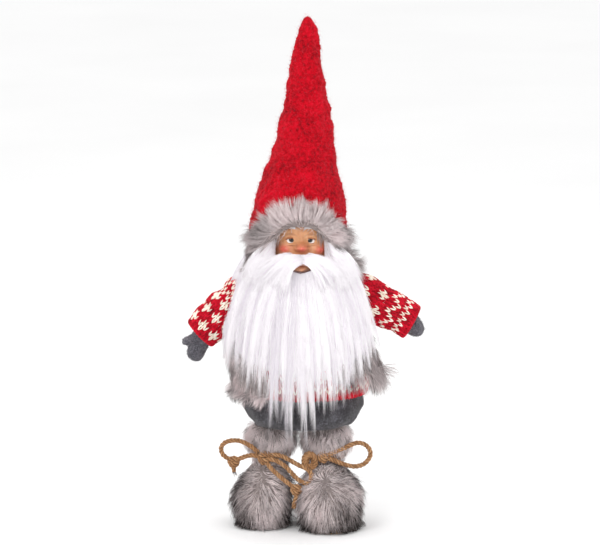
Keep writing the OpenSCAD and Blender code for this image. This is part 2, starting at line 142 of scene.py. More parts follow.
def fan(ring, centre, flip=False):
    """Triangles from a closed ring of point numbers to a centre point."""
    ring = np.asarray(ring)
    tris = np.stack([ring, np.roll(ring, -1), np.full(len(ring), centre)], 1)
    return tris[:, ::-1] if flip else tris


def rings_solid(rings, flip=False):
    """Points and faces of a closed form through rings, shaped (rows, cols, 3)."""
    rows, cols = rings.shape[:2]
    points = np.vstack([rings.reshape(-1, 3), rings[0].mean(0), rings[-1].mean(0)])
    faces = [grid(rows, cols, flip=flip), fan(np.arange(cols), rows * cols, flip=not flip),
             fan(np.arange(cols) + (rows - 1) * cols, rows * cols + 1, flip=flip)]
    return points, faces


def tube_frames(line):
    """Unit tangents and two unit vectors across them, without twist, along a line."""
    tangent = unit(np.gradient(line, axis=0))
    side = np.zeros_like(line)
    start = np.cross(tangent[0], [0.0, 1.0, 0.0])
    side[0] = unit(start if np.linalg.norm(start) > 0.1 else np.cross(tangent[0], [1.0, 0.0, 0.0]))
    for i in range(1, len(line)):
        side[i] = unit(side[i - 1] - tangent[i] * (side[i - 1] @ tangent[i]))
    return tangent, side, np.cross(tangent, side)


def tube(line, radius, sides=8):
    """Points and faces of a closed tube. radius is a number or one per point."""
    tangent, a, b = tube_frames(line)
    angle = np.linspace(0, 2 * np.pi, sides, endpoint=False)
    radius = np.broadcast_to(radius, len(line))[:, None, None]
    rings = line[:, None] + radius * (
        np.cos(angle)[None, :, None] * a[:, None] + np.sin(angle)[None, :, None] * b[:, None])
    return rings_solid(rings)


def joined(parts):
    """Joins several (points, faces, values) into one, with values as arrays or numbers by name."""
    points, faces, values, first = [], [], {}, 0
    for p, f, v in parts:
        points.append(p)
        faces += [np.asarray(x) + first for x in f]
        for key, array in v.items():
            values.setdefault(key, []).append(np.broadcast_to(np.asarray(array, float), len(p)))
        first += len(p)
    return np.vstack(points), faces, {k: np.concatenate(v) for k, v in values.items()}


# ---- hair ----

def strands(paths, radius, tone, taper=0.25, dark=None):
    """Points, faces and values of closed thin hairs that end in a point. paths is shaped (hairs, rings, 3)."""
    sides = 3
    hairs, rings = paths.shape[:2]
    tangent = unit(np.gradient(paths, axis=1))
    reference = np.where(np.abs(tangent[..., 1:2]) < 0.8, [[[0.0, 1.0, 0.0]]], [[[1.0, 0.0, 0.0]]])
    a = unit(np.cross(tangent, reference))
    b = np.cross(tangent, a)
    along = np.linspace(0, 1, rings)
    width = (1 - (1 - taper) * along[:-1] ** 1.6)[None, :] * np.broadcast_to(radius, hairs)[:, None]
    angle = np.linspace(0, 2 * np.pi, sides, endpoint=False)
    body = paths[:, :-1, None] + width[..., None, None] * (
        np.cos(angle)[:, None] * a[:, :-1, None] + np.sin(angle)[:, None] * b[:, :-1, None])
    each = (rings - 1) * sides + 1
    points = np.concatenate([body.reshape(hairs, -1, 3), paths[:, -1:]], 1).reshape(-1, 3)
    first = (np.arange(hairs) * each)[:, None, None]
    quads = (grid(rings - 1, sides)[None] + first).reshape(-1, 4)
    last = (rings - 2) * sides + np.arange(sides)
    tips = (fan(last, each - 1)[None] + first).reshape(-1, 3)
    roots = np.arange(sides)[::-1][None] + np.arange(hairs)[:, None] * each
    ring_of = np.append(np.repeat(along[:-1], sides), 1.0)
    values = {"along": np.tile(ring_of, hairs), "tone": np.repeat(np.broadcast_to(tone, hairs), each)}
    if dark is not None:
        values["dark"] = np.repeat(np.broadcast_to(dark, hairs), each)
    return points, [quads, tips, roots], values


def hair(name, paths, radius, tone, material, dark, taper=0.25):
    points, faces, values = strands(paths, radius, tone, taper, dark)
    return make(name, points, faces, [material], values)


def triangles_of(faces):
    out = []
    for f in faces:
        f = np.asarray(f)
        out += [f[:, [0, i, i + 1]] for i in range(1, f.shape[1] - 1)]
    return np.vstack(out)


def normals_of(points, tris):
    n = np.zeros_like(points)
    face = np.cross(points[tris[:, 1]] - points[tris[:, 0]], points[tris[:, 2]] - points[tris[:, 0]])
    for i in range(3):
        np.add.at(n, tris[:, i], face)
    return unit(n)


def scatter(points, faces, count, draw, weight=None):
    """count random roots on a surface and their normals."""
    tris = triangles_of(faces)
    normals = normals_of(points, tris)
    a, b, c = (points[tris[:, i]] for i in range(3))
    area = np.linalg.norm(np.cross(b - a, c - a), axis=1)
    if weight is not None:
        area = area * weight((a + b + c) / 3, unit(normals[tris].mean(1)))
    pick = draw.choice(len(tris), count, p=area / area.sum())
    r = np.sqrt(draw.random(count))
    s = draw.random(count)
    w = np.stack([1 - r, r * (1 - s), r * s], 1)[..., None]
    return (points[tris[pick]] * w).sum(1), unit((normals[tris[pick]] * w).sum(1))


def comb(roots, normals, flow, length, draw, rings=5, lift=0.9, settle=0.25, droop=0.2, stray=0.25,
         clump=6.0, hold=0.5, sink=1.0):
    """Paths of fur that leaves the skin along its normal and lies down along flow.
    clump is the distance between locks, and hold how far the tips gather in them."""
    count = len(roots)
    across = flow - normals * (flow * normals).sum(1, keepdims=True)
    across = unit(across)
    wild = draw.normal(size=(count, 3)) * stray
    length = np.broadcast_to(length, count)[:, None]
    path = [roots - normals * sink]
    for i in range(1, rings):
        s = (i - 0.5) / (rings - 1)
        heading = unit(normals * lerp(lift, settle, s) + across * lerp(0.5, 1.0, s) + DOWN * droop * s
                       + wild * (0.4 + s))
        path.append(path[-1] + heading * (length + sink) / (rings - 1))
    paths = np.stack(path, 1)
    if clump:
        size = max(int(count * 0.04), 8)
        spread = draw.choice(count, size, replace=False)
        centres = roots[spread]
        nearest = np.empty(count, int)
        for i in range(0, count, 2000):
            part = roots[i:i + 2000]
            nearest[i:i + 2000] = ((part[:, None] - centres[None]) ** 2).sum(2).argmin(1)
        lead = paths[spread][nearest]
        gap = np.linalg.norm(roots - centres[nearest], axis=1)
        pull = hold * np.exp(-((gap / clump) ** 2))
        s = np.linspace(0, 1, rings)[None, :, None] ** 1.4
        paths = paths + (lead - paths) * s * pull[:, None, None]
    return paths


def clear_of(points, gap, *nodes):
    """Moves points out until they lie gap outside the filling they cover."""
    for name in nodes:
        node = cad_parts[name]
        place_of = np.array(node.matrix_world)
        co = np.empty(len(node.data.vertices) * 3)
        node.data.vertices.foreach_get("co", co)
        co = co.reshape(-1, 3) @ place_of[:3, :3].T + place_of[:3, 3]
        inside = BVHTree.FromPolygons(co.tolist(), [tuple(f.vertices) for f in node.data.polygons])
        for i, point in enumerate(points):
            at, normal, _, _ = inside.find_nearest(Vector(point * MM), 0.02)
            if at is None:
                continue
            off = Vector(point * MM) - at
            if off.length < gap * MM or off.dot(normal) < -0.5 * off.length:
                points[i] = np.array(at + normal * gap * MM) / MM
    return points


# ---- materials ----

def add(tree, kind, inputs=None, **settings):
    node = tree.nodes.new("ShaderNode" + kind)
    for key, value in settings.items():
        setattr(node, key, value)
    for key, value in (inputs or {}).items():
        if isinstance(value, bpy.types.NodeSocket):
            tree.links.new(value, node.inputs[key])
        else:
            node.inputs[key].default_value = value
    return node


def colour(text):
    """The linear colour of a hex code."""
    parts = [int(text[i:i + 2], 16) / 255 for i in (0, 2, 4)]
    return tuple(c / 12.92 if c <= 0.04045 else ((c + 0.055) / 1.055) ** 2.4 for c in parts) + (1.0,)


def ramp(tree, factor, stops):
    node = tree.nodes.new("ShaderNodeValToRGB")
    while len(node.color_ramp.elements) < len(stops):
        node.color_ramp.elements.new(0.5)
    for element, (at, code) in zip(node.color_ramp.elements, stops):
        element.position = at
        element.color = colour(code)
    tree.links.new(factor, node.inputs[0])
    return node.outputs[0]


def blend_colour(tree, factor, a, b, mode="MIX"):
    node = tree.nodes.new("ShaderNodeMix")
    node.data_type = "RGBA"
    node.blend_type = mode
    for socket, value in ((node.inputs[0], factor), (node.inputs[6], a), (node.inputs[7], b)):
        if isinstance(value, bpy.types.NodeSocket):
            tree.links.new(value, socket)
        else:
            socket.default_value = value
    return node.outputs[2]


def maths(tree, operation, a, b, clamp=False):
    node = tree.nodes.new("ShaderNodeMath")
    node.operation = operation
    node.use_clamp = clamp
    for socket, value in zip(node.inputs, (a, b)):
        if isinstance(value, bpy.types.NodeSocket):
            tree.links.new(value, socket)
        else:
            socket.default_value = value
    return node.outputs[0]


def value_of(tree, name):
    return add(tree, "Attribute", attribute_name=name).outputs["Fac"]


def base_material(name, roughness=0.8, sheen=0.0, sheen_tint=(1, 1, 1, 1), specular=0.5, **sockets):
    """A new material, its tree, its Principled shader and its object coordinates."""
    m = bpy.data.materials.new(name)
    m.use_nodes = True
    tree = m.node_tree
    shader = tree.nodes["Principled BSDF"]
    shader.inputs["Roughness"].default_value = roughness
    shader.inputs["Sheen Weight"].default_value = sheen
    shader.inputs["Sheen Tint"].default_value = sheen_tint
    shader.inputs["Specular IOR Level"].default_value = specular
    for key, value in sockets.items():
        shader.inputs[key.replace("_", " ")].default_value = value
    where = add(tree, "TexCoord").outputs["Object"]
    return m, tree, shader, where


def pattern(tree, where, scale, detail=2.0, roughness=0.5):
    return add(tree, "TexNoise", {"Vector": where, "Scale": scale, "Detail": detail,
                                  "Roughness": roughness}).outputs[0]


def bump(tree, shader, height, distance, strength=1.0):
    node = add(tree, "Bump", {"Height": height, "Distance": distance, "Strength": strength})
    tree.links.new(node.outputs[0], shader.inputs["Normal"])


def fur_material(name, light, middle, dark_tip, root, roughness=0.65, specular=0.3):
    """Hair coloured by each hair's own tone, darker towards its root, partly the fur's own root colour and
    partly painted self-shadow, and with a tip as dark as 'dark' says.
    """
    m, tree, shader, where = base_material(name, roughness, specular=specular)
    tone = value_of(tree, "tone")
    along = value_of(tree, "along")
    body = ramp(tree, tone, [(0.0, middle), (0.45, light), (1.0, light)])
    patches = maths(tree, "MULTIPLY", pattern(tree, where, 90, 1.0), 0.35, clamp=True)
    body = blend_colour(tree, patches, body, colour(middle))
    outer = ramp(tree, along, [(0.15, "000000"), (0.5, "ffffff")])
    tip = maths(tree, "MULTIPLY", outer, value_of(tree, "dark"), clamp=True)
    body = blend_colour(tree, tip, body, colour(dark_tip))
    # near the root: the fur's own root colour together with painted self-shadow
    root_colour_and_shade = ramp(tree, along, [(0.0, "ffffff"), (0.35, "000000")])
    body = blend_colour(tree, maths(tree, "MULTIPLY", root_colour_and_shade, 0.75), body, colour(root))
    tree.links.new(body, shader.inputs["Base Color"])
    return m


def felt_material(name, low, mid, high, pitch, sheen=0.4, sheen_tint=(1, 1, 1, 1), depth=0.0005):
    """Boiled wool: a nubbly, mottled cloth."""
    m, tree, shader, where = base_material(name, 0.92, sheen, sheen_tint, 0.15)
    shader.inputs["Sheen Roughness"].default_value = 0.5
    nubs = pattern(tree, where, 1 / (pitch * MM), 3.0, roughness=0.6)
    patches = pattern(tree, where, 0.14 / (pitch * MM), 2.0)
    fine = pattern(tree, where, 4.5 / (pitch * MM), 2.0, roughness=0.7)
    mottle = maths(tree, "ADD", maths(tree, "MULTIPLY", nubs, 0.55), maths(tree, "MULTIPLY", patches, 0.3))
    mottle = maths(tree, "ADD", mottle, maths(tree, "MULTIPLY", fine, 0.2))
    tree.links.new(ramp(tree, mottle, [(0.36, low), (0.53, mid), (0.72, high)]), shader.inputs["Base Color"])
    height = maths(tree, "ADD", maths(tree, "MULTIPLY", nubs, 0.7), maths(tree, "MULTIPLY", fine, 0.4))
    bump(tree, shader, height, depth)
    return m


def wood_material(name, light, dark):
    m, tree, shader, where = base_material(name, 0.6, specular=0.3)
    stretched = add(tree, "Mapping", {"Vector": where, "Scale": (60.0, 900.0, 900.0)}).outputs[0]
    grain = pattern(tree, stretched, 1.0, 4.0)
    tree.links.new(ramp(tree, grain, [(0.35, dark), (0.65, light)]), shader.inputs["Base Color"])
    bump(tree, shader, grain, 0.0002, 0.6)
    return m


def metal_material(name, code, roughness):
    m, tree, shader, where = base_material(name, roughness, Metallic=1.0)
    wear = pattern(tree, where, 700, 3.0)
    tree.links.new(ramp(tree, wear, [(0.3, "55585c"), (0.6, code)]), shader.inputs["Base Color"])
    worn = add(tree, "MapRange", {"Value": wear, "To Min": roughness - 0.1, "To Max": roughness + 0.2})
    tree.links.new(worn.outputs[0], shader.inputs["Roughness"])
    return m


mat_hat = felt_material("hat_felt", "6e000c", "b60016", "d80c2a", 3.4, 0.10, (1.0, 0.3, 0.35, 1), 0.0009)
mat_hat_fibre = fur_material("hat_fibre", "d41a34", "a80a1e", "f06a78", "7a0212")
mat_mitten = felt_material("mitten_felt", "2f2e33", "55535a", "8d8b92", 1.3, 0.3, depth=0.0004)
mat_mitten_fuzz = fur_material("mitten_fuzz", "85838a", "55535a", "a5a3aa", "3a393e")
mat_trouser = felt_material("trouser_felt", "1c1b1d", "39373a", "74727a", 1.6, 0.15, depth=0.0004)
mat_fur = fur_material("grey_fur", "fff3f3", "ecdcdc", "241b18", "dfd2d0")
mat_fur_base = felt_material("grey_fur_backing", "5c5352", "857a78", "a09694", 2.0, 0.2, depth=0.0004)
# the lilac-grey middle colour, on hairs of low tone, is painted shade between the locks
mat_beard = fur_material("white_hair", "fffdfe", "dad4dc", "ffffff", "e0dbe1", 0.5, 0.4)
glow = mat_beard.node_tree.nodes["Principled BSDF"].inputs  # painted glow: a weak emission that stands in for light scattered from hair to hair
glow["Emission Color"].default_value = (0.94, 0.92, 0.94, 1)
glow["Emission Strength"].default_value = 0.17
mat_beard_base = felt_material("white_hair_backing", "c8c0ca", "dcd5de", "f2eef4", 1.5, 0.2, depth=0.0003)
mat_birch = wood_material("birch", "dcc096", "b8925e")
mat_steel = metal_material("steel_wire", "9a9da2", 0.35)
mat_iron = metal_material("iron_weight", "5e6064", 0.55)
mat_filling = felt_material("wool_filling", "d8d2c2", "ece8dc", "fbf9f2", 3.0, 0.3, depth=0.0006)
mat_pellets = felt_material("pellet_cloth", "cfc6b2", "e0d8c6", "efe9da", 1.0, 0.2, depth=0.0002)


def knit_material():
    """Woollen yarn, red or cream by each stitch's own pattern value."""
    m, tree, shader, where = base_material("sweater_knit", 0.9, 0.1, (1.0, 0.5, 0.5, 1), 0.15)
    cream = value_of(tree, "cream")
    tone = value_of(tree, "tone")
    fuzz = pattern(tree, where, 900, 2.0)
    blotch = pattern(tree, where, 60, 2.0)
    shade = maths(tree, "ADD", maths(tree, "MULTIPLY", fuzz, 0.5), maths(tree, "MULTIPLY", tone, 0.25))
    shade = maths(tree, "ADD", shade, maths(tree, "MULTIPLY", blotch, 0.3))
    red = ramp(tree, shade, [(0.3, "640010"), (0.52, "bc0420"), (0.75, "dc1834")])
    pale = ramp(tree, shade, [(0.25, "cdb8a4"), (0.5, "efe3d2"), (0.75, "fffaf0")])
    tree.links.new(blend_colour(tree, cream, red, pale), shader.inputs["Base Color"])
    bump(tree, shader, fuzz, 0.0004)
    return m


def jute_material():
    m, tree, shader, where = base_material("jute", 0.85, 0.15, specular=0.2)
    fibre = pattern(tree, where, 1400, 3.0)
    tone = value_of(tree, "tone")
    mix = maths(tree, "ADD", maths(tree, "MULTIPLY", fibre, 0.7), maths(tree, "MULTIPLY", tone, 0.35))
    yarn = ramp(tree, mix, [(0.22, "4a3220"), (0.5, "a0734c"), (0.85, "d6ae84")])
    # painted shade: the plies darken where they turn in towards the cord's core, in the crevices between them
    crevice_shade = ramp(tree, value_of(tree, "along"), [(0.5, "4d3526"), (0.86, "ffffff")])
    tree.links.new(blend_colour(tree, 1.0, yarn, crevice_shade, "MULTIPLY"), shader.inputs["Base Color"])
    bump(tree, shader, fibre, 0.0003)
    return m


mat_knit = knit_material()
mat_jute = jute_material()

# ---- camera ----

ELEVATION = math.radians(10)
DISTANCE = 5.0
CENTRE = Vector((-0.0015, 0.0, 0.2483))
PICTURE_WIDTH = 0.582  # width of the view at the figure, in metres

camera = bpy.data.objects.new("camera", bpy.data.cameras.new("camera"))
bpy.context.scene.collection.objects.link(camera)
camera.location = CENTRE + DISTANCE * Vector((0, -math.cos(ELEVATION), math.sin(ELEVATION)))
camera.rotation_euler = (CENTRE - camera.location).to_track_quat("-Z", "Y").to_euler()
camera.data.sensor_width = 36.0
camera.data.lens = 36.0 * DISTANCE / PICTURE_WIDTH
camera.data.clip_start = 0.05
bpy.context.scene.camera = camera

# ---- twine, first of all pieces ----

TWINE_D = 4.5
TIE_Z = 70  # the height of the wrapped turns, whose legs stand here:
LEGS = {"left": np.array([24.0, 0.0]), "right": np.array([-30.0, 4.0])}
PLIES, TWIST_PITCH = 3, 10.5
BOW_RIGHT = [[-37, -19, 69], [-43, -19, 70.5], [-49, -18, 71], [-55, -17, 69.5], [-61, -16, 67],
             [-67, -15, 66], [-73, -15, 68], [-77.5, -14, 72.5], [-78, -14, 78.5], [-74, -14, 83],
             [-68, -15, 85], [-61, -16, 85], [-54, -17, 82.5], [-48, -18, 79], [-42, -19, 74]]
FRONT_LOOP = [[-33, -22, 68], [-27, -23, 67.5], [-21, -24, 65], [-15, -26, 61], [-10, -28, 56],
              [-5, -30, 51], [0, -31, 47.5], [5, -33.5, 46.5], [9, -33, 50], [9, -31, 56],
              [4.5, -28, 60], [-2, -26, 62.5], [-9, -24, 66], [-16, -22, 69.5], [-23, -20, 71.5],
              [-30, -20, 71.5]]
TAIL = [[-34, -22, 65], [-31, -24, 61], [-27, -26, 57], [-22, -28, 53], [-17, -30, 49],
        [-12, -32, 45.5], [-7, -33, 42], [-4.5, -34, 37], [-5.5, -35, 32], [-7, -35, 27],
        [-7.5, -35, 22]]
BOW_LEFT = [[25, -22, 72], [30, -22, 74], [36, -21, 76.5], [42, -20, 79], [48, -19, 81.5],
            [54, -17, 83], [60, -16, 82], [65, -15, 78], [67, -15, 72], [65, -15, 66],
            [60, -16, 61.5], [53, -18, 60], [46, -20, 61], [39, -21, 63.5], [32, -22, 66.5],
            [26, -23, 69]]


def twist(line, radius, seed, loose):
    """Points, faces and values of twisted plies that follow a line, with a number of loose fibres."""
    total = length_of(line)
    count = max(int(total / 1.0), 12)
    line = smooth_line(line, count)
    tangent, a, b = tube_frames(line)
    along = np.linspace(0, total, count)
    draw = np.random.default_rng(seed)
    parts = []
    for i in range(PLIES):
        phase = along / TWIST_PITCH * 2 * np.pi + i * 2 * np.pi / PLIES
        wander = 1 + 0.08 * np.sin(along * 0.9 + draw.uniform(0, 6, 1))
        off = np.cos(phase)[:, None] * a + np.sin(phase)[:, None] * b
        centre = line + radius * 0.62 * wander[:, None] * off
        p, f = tube(centre, radius * 0.48 * (1 + 0.07 * np.sin(along * 2.3 + i * 2)), 8)
        # how far out from the cord's core each point lies, which the jute material turns into painted shade in
        # the crevices
        rim = np.linalg.norm(p[:-2].reshape(count, 8, 3) - line[:, None], axis=2).ravel() / (1.1 * radius)
        parts.append((p, f, {"tone": 0.25 + 0.5 * draw.random(), "along": np.append(rim, [0.5, 0.5])}))
    at = draw.integers(1, count - 1, loose)
    angle = draw.uniform(0, 2 * np.pi, loose)[:, None]
    out = np.cos(angle) * a[at] + np.sin(angle) * b[at]
    root = line[at] + out * radius * 0.85
    lean = tangent[at] * draw.choice([-1, 1], loose)[:, None]
    reach = draw.uniform(0.8, 2.4, loose)[:, None]
    paths = np.stack([root, root + reach * 0.5 * unit(out * 0.5 + lean),
                      root + reach * unit(out * 0.8 + lean + draw.normal(size=(loose, 3)) * 0.5)], 1)
    parts.append(strands(paths, 0.09, 0.2 + 0.8 * draw.random(loose), taper=0.6))
    return joined(parts)


def jute_piece(name, parts, *nodes):
    points, faces, values = parts
    return place(make(name, points, faces, [mat_jute], values), "torso", "jute", *nodes)


def twine(name, line, seed, *nodes, loose=70):
    return jute_piece(name, twist(np.array(line, float), TWINE_D / 2, seed, loose), *nodes)


def knot(name, at, r, seed, node, tail=None):
    """An overhand knot: three small turns wound about each other, with a tail where there is one."""
    draw = np.random.default_rng(seed)
    parts = []
    for tilt in (0.3, 1.4, 2.4):
        t = np.linspace(0, 2 * np.pi, 40)
        turn = np.stack([np.cos(t) * r * 0.7, np.sin(t) * r * 0.55 * math.cos(tilt),
                         np.sin(t) * r * 0.7 * math.sin(tilt) + 0.4 * np.cos(2 * t)], 1)
        parts.append(twist(turn + np.array(at), TWINE_D / 2 * 0.95, seed + int(tilt * 10), 14))
    if tail is not None:
        tail = np.array(tail, float)
        parts.append(twist(tail, TWINE_D / 2 * 0.9, seed + 50, 30))
        end, heading = tail[-1], unit(tail[-1] - tail[-2])
        paths = []
        for _ in range(26):
            side = draw.normal(size=3) * 0.55
            reach = draw.uniform(2, 6)
            paths.append([end + side - heading, end + side * 2 + heading * reach * 0.5,
                          end + side * 3.5 + heading * reach])
        parts.append(strands(np.array(paths), 0.13, draw.random(26), taper=0.7))
    return jute_piece(name, joined(parts), node)


knot_left = knot("twine_knot_left", [21, -20.5, 70], 5.6, 31, "knot_left")
knot("twine_knot_right", [-36, -19, 69], 7.4, 32, "knot_right")
knot_bow = knot("twine_knot_bow", [-66, -15, 64], 5.8, 33, "knot_bow_right",
                tail=[[-66, -15, 63], [-66.5, -15.2, 60], [-66, -15.6, 57], [-65.5, -16, 54]])
knot_tail = knot("twine_knot_tail", [-5, -34, 40], 5.6, 34, "knot_tail")

COIL_TURNS, COIL_AT, COIL_R = 3.6, (8, -21.5, 66), 6.0
turn = np.linspace(0, COIL_TURNS * 2 * np.pi, 130)
coil_r = COIL_R - 3.2 * step(1.6, COIL_TURNS, turn / (2 * np.pi))
coil_line = np.stack([COIL_AT[0] + coil_r * np.cos(turn), COIL_AT[1] - 2.2 * np.sin(turn * 0.55),
                      COIL_AT[2] + 1.25 * coil_r * np.sin(turn)], 1)
twine_coil = twine("twine_coil", coil_line, 24, "twine_coil_left", loose=40)


def cord(name, route, seed, node):
    line = smooth_line(route, 60)
    piece = twine(name, line, seed, node)


cord("twine_bow_right_loop", BOW_RIGHT, 20, "twine_bow_right")
cord("twine_loop_front", FRONT_LOOP, 21, "twine_front_loop")
cord("twine_end", TAIL, 22, "twine_tail")
cord("twine_bow_left_loop", BOW_LEFT, 23, "twine_bow_left")


def wrap(side, seed):
    """A little over two turns round an ankle."""
    t = np.linspace(0, 2.3 * 2 * np.pi, 150)
    r = 17.4 + 0.4 * np.sin(t * 3 + seed)
    x, y = LEGS[side]
    line = np.stack([x + r * np.cos(t - 2), y + r * np.sin(t - 2), TIE_Z - 2.6 + 5.0 * t / t[-1]], 1)
    twine(f"twine_ankle_{side}", line, seed, f"twine_wrap_{side}", loose=90)


wrap("left", 25)
wrap("right", 26)

# ---- forms under the fur, from the CAD outlines ----

TORSO_Y = 6.0
HEAD_Y = -10.0
# outlines of radius and height
TROUSERS = np.array([[6, 98], [34, 97.6], [48, 100], [55, 107], [58.5, 117], [58, 126], [56, 132], [53, 139],
                     [30, 140]])
SWEATER = np.array([[56.3, 131], [58, 134], [61, 146], [65, 160], [66, 172], [62.5, 186], [55, 199],
                    [46, 211], [38.5, 224], [31, 236], [24, 243], [20, 246]])
VEST = np.array([[62, 118], [64, 122], [65.5, 134], [67.5, 146], [69.5, 160], [70, 172], [66, 186], [58, 199],
                 [49, 211], [42.5, 224], [39, 231]])
BEARD = np.array([[65, 96], [65, 104], [76, 120], [81, 134], [84, 150], [85.5, 165], [85, 178], [82, 192],
                  [77, 206], [71, 222], [65, 240], [58, 262], [50, 275], [42, 290]])


def turned(line, centre, columns=120, rows=60):
    """Rings of an outline of radius and height turned about an upright axis."""
    line = np.array(line, float)
    along = np.concatenate([[0], np.cumsum(np.linalg.norm(np.diff(line, axis=0), axis=1))])
    at = np.linspace(0, along[-1], rows)
    r, z = (eased(at, along, line[:, i], 2.0) for i in (0, 1))
    r[[0, -1]], z[[0, -1]] = line[[0, -1], 0], line[[0, -1], 1]
    angle = np.linspace(0, 2 * np.pi, columns, endpoint=False)
    return np.stack([centre[0] + r[:, None] * np.cos(angle), centre[1] + r[:, None] * np.sin(angle),
                     np.broadcast_to(z[:, None], (rows, columns))], -1)


def crumple(rings, amount, pitch, seed):
    """Moves rings in and out from each ring's own middle by smooth noise."""
    flat = rings.reshape(-1, 3)
    out = unit(rings - rings.mean(1, keepdims=True)).reshape(-1, 3)
    return (flat + out * (amount * noise(flat, pitch, seed))[:, None]).reshape(rings.shape)


def fuzz(name, points, faces, count, seed, lengths, radius, material, weight=None, raised=0.0, dark=0.0,
         **combing):
    """Short loose fibres that stand off a cloth in all directions."""
    draw = np.random.default_rng(seed)
    roots, normals = scatter(points, faces, count, draw, weight)
    settings = {"rings": 4, "lift": 0.9, "stray": 0.5, "clump": 0, "sink": 0.2, **combing}
    flow = draw.normal(size=roots.shape)
    paths = comb(roots + normals * raised, normals, flow, draw.uniform(*lengths, count), draw, **settings)
    return hair(name, paths, radius, draw.random(count), material, dark)


trouser_rings = crumple(turned(TROUSERS, (1.5, TORSO_Y)), 1.3, 24, 3)
points, faces = rings_solid(trouser_rings)
points = clear_of(points, 0.6, "body_stuffing")
trousers = place(make("trousers", points, faces, [mat_trouser]), "torso", "trouser_felt", "trousers")
place(fuzz("trouser_fuzz", points, faces, 5000, 41, (0.8, 2.6), 0.07, mat_mitten_fuzz, lift=1.0, settle=0.2,
           droop=0.0), "torso", "trouser_felt")

# ---- legs and boots ----

SHAFT = [[14, 66], [15.5, 67.5], [13.8, 69], [13.8, 71.5], [18, 75.5], [20.5, 83], [19.5, 91], [16, 98]]


def leg(side, seed):
    """A fur shaft: its hair stands up below the twine and hangs down above it."""
    points, faces = rings_solid(turned(SHAFT, LEGS[side], 64, rows=30))
    place(make(f"leg_{side}", points, faces, [mat_fur_base]), "torso", "grey_fur", f"leg_fur_{side}")
    draw = np.random.default_rng(seed)
    count = 3600
    roots, normals = scatter(points, faces, count, draw,
                             lambda p, n: np.where(p[:, 2] > 73, 1.0, 0.25) * (np.abs(n[:, 2]) < 0.93))
    up = roots[:, 2] < 72.5
    flow = np.where(up[:, None], -DOWN, DOWN) + normals * 0.12
    flow = flow + 0.35 * np.stack([noise(roots, 18, seed + 1), noise(roots, 18, seed + 2), 0 * up], 1)
    lengths = np.where(up, 4.0, draw.uniform(10, 16, count))
    paths = comb(roots, normals, flow, lengths, draw, rings=5, lift=0.75, settle=0.22, droop=0.25, stray=0.16,
                 clump=4.0, hold=0.55)
    outer = np.abs(noise(roots, 14, seed + 3)) > 0.7
    fur = hair(f"leg_{side}_fur", paths, draw.uniform(0.13, 0.19, count), 0.35 + 0.65 * draw.random(count),
               mat_fur, np.where(outer, 0.6, 0.1))
    place(fur, "torso", "grey_fur")


leg("left", 51)
leg("right", 55)


def skin_of_spheres(name, spheres, voxel):
    """Points and faces of one closed mesh round a chain of spheres (x, y, z, r), remeshed and smoothed."""
    angle = np.linspace(0, 2 * np.pi, 20, endpoint=False)
    lift = np.linspace(-np.pi / 2, np.pi / 2, 12)[1:-1]
    parts = []
    ball = np.stack([np.cos(lift)[:, None] * np.cos(angle), np.cos(lift)[:, None] * np.sin(angle),
                     np.broadcast_to(np.sin(lift)[:, None], (10, 20))], -1)
    for x, y, z, r in spheres:
        parts.append((*rings_solid(ball * r + np.array([x, y, z])), {}))
    points, faces, _ = joined(parts)
    raw = make(name + "_raw", points, faces, [])
    remesh = raw.modifiers.new("remesh", "REMESH")
    remesh.mode = "VOXEL"
    remesh.voxel_size = voxel * MM
    soften = raw.modifiers.new("soften", "SMOOTH")
    soften.factor, soften.iterations = 0.6, 6
    bpy.context.view_layer.update()
    mesh = bpy.data.meshes.new_from_object(raw.evaluated_get(bpy.context.evaluated_depsgraph_get()))
    bpy.data.objects.remove(raw, do_unlink=True)
    co = np.empty(len(mesh.vertices) * 3)
    mesh.vertices.foreach_get("co", co)
    corners = np.empty(len(mesh.loops), np.int32)
    mesh.loops.foreach_get("vertex_index", corners)
    starts = np.empty(len(mesh.polygons), np.int32)
    mesh.polygons.foreach_get("loop_start", starts)
    sizes = np.diff(np.append(starts, len(corners)))
    faces = [np.array([corners[s:s + k] for s in starts[sizes == k]]) for k in sorted(set(sizes))]
    bpy.data.meshes.remove(mesh)
    return co.reshape(-1, 3) / MM, faces


def between(a, b, count=9):
    """Spheres (x, y, z, r) evenly from a to b."""
    return list(lerp(np.array(a, float), np.array(b, float), np.linspace(0, 1, count)[:, None]))


def sole_ring(x, y, ring):
    """Small spheres in a ring, which give a boot its flat foot."""
    return [np.array([x + ring * math.cos(a), y + ring * math.sin(a), 8.5, 7.5])
            for a in np.linspace(0, 2 * np.pi, 15)[:-1]]


# each boot: the foot low and high, the instep, the ankle and the flat sole
BOOT_LEFT = (between((27, 0, 19, 19), (27, -34, 19, 21), 12)
             + between((27, -2, 29, 25), (27, -32, 27, 26), 12)
             + between((24, 0, 60, 12), (27, -20, 33, 20)) + between((24, 1, 62, 15), (24, 1, 50, 17), 4)
             + sole_ring(27, -2, 17) + sole_ring(27, -30, 17.5))
BOOT_RIGHT = (between((-38, 9, 16, 16), (-38, -15, 16, 17), 10)
              + between((-38, 9, 26, 20.5), (-38, -14, 25, 22), 10)
              + between((-30, 4, 60, 12), (-36, -6, 30, 18)) + between((-30, 5, 62, 15), (-31, 5, 50, 17), 4)
              + sole_ring(-38, 8, 14) + sole_ring(-38, -14, 14.5))


def three_noises(points, pitch, seed):
    return np.stack([noise(points, pitch, seed + i) for i in (1, 2, 3)], 1)


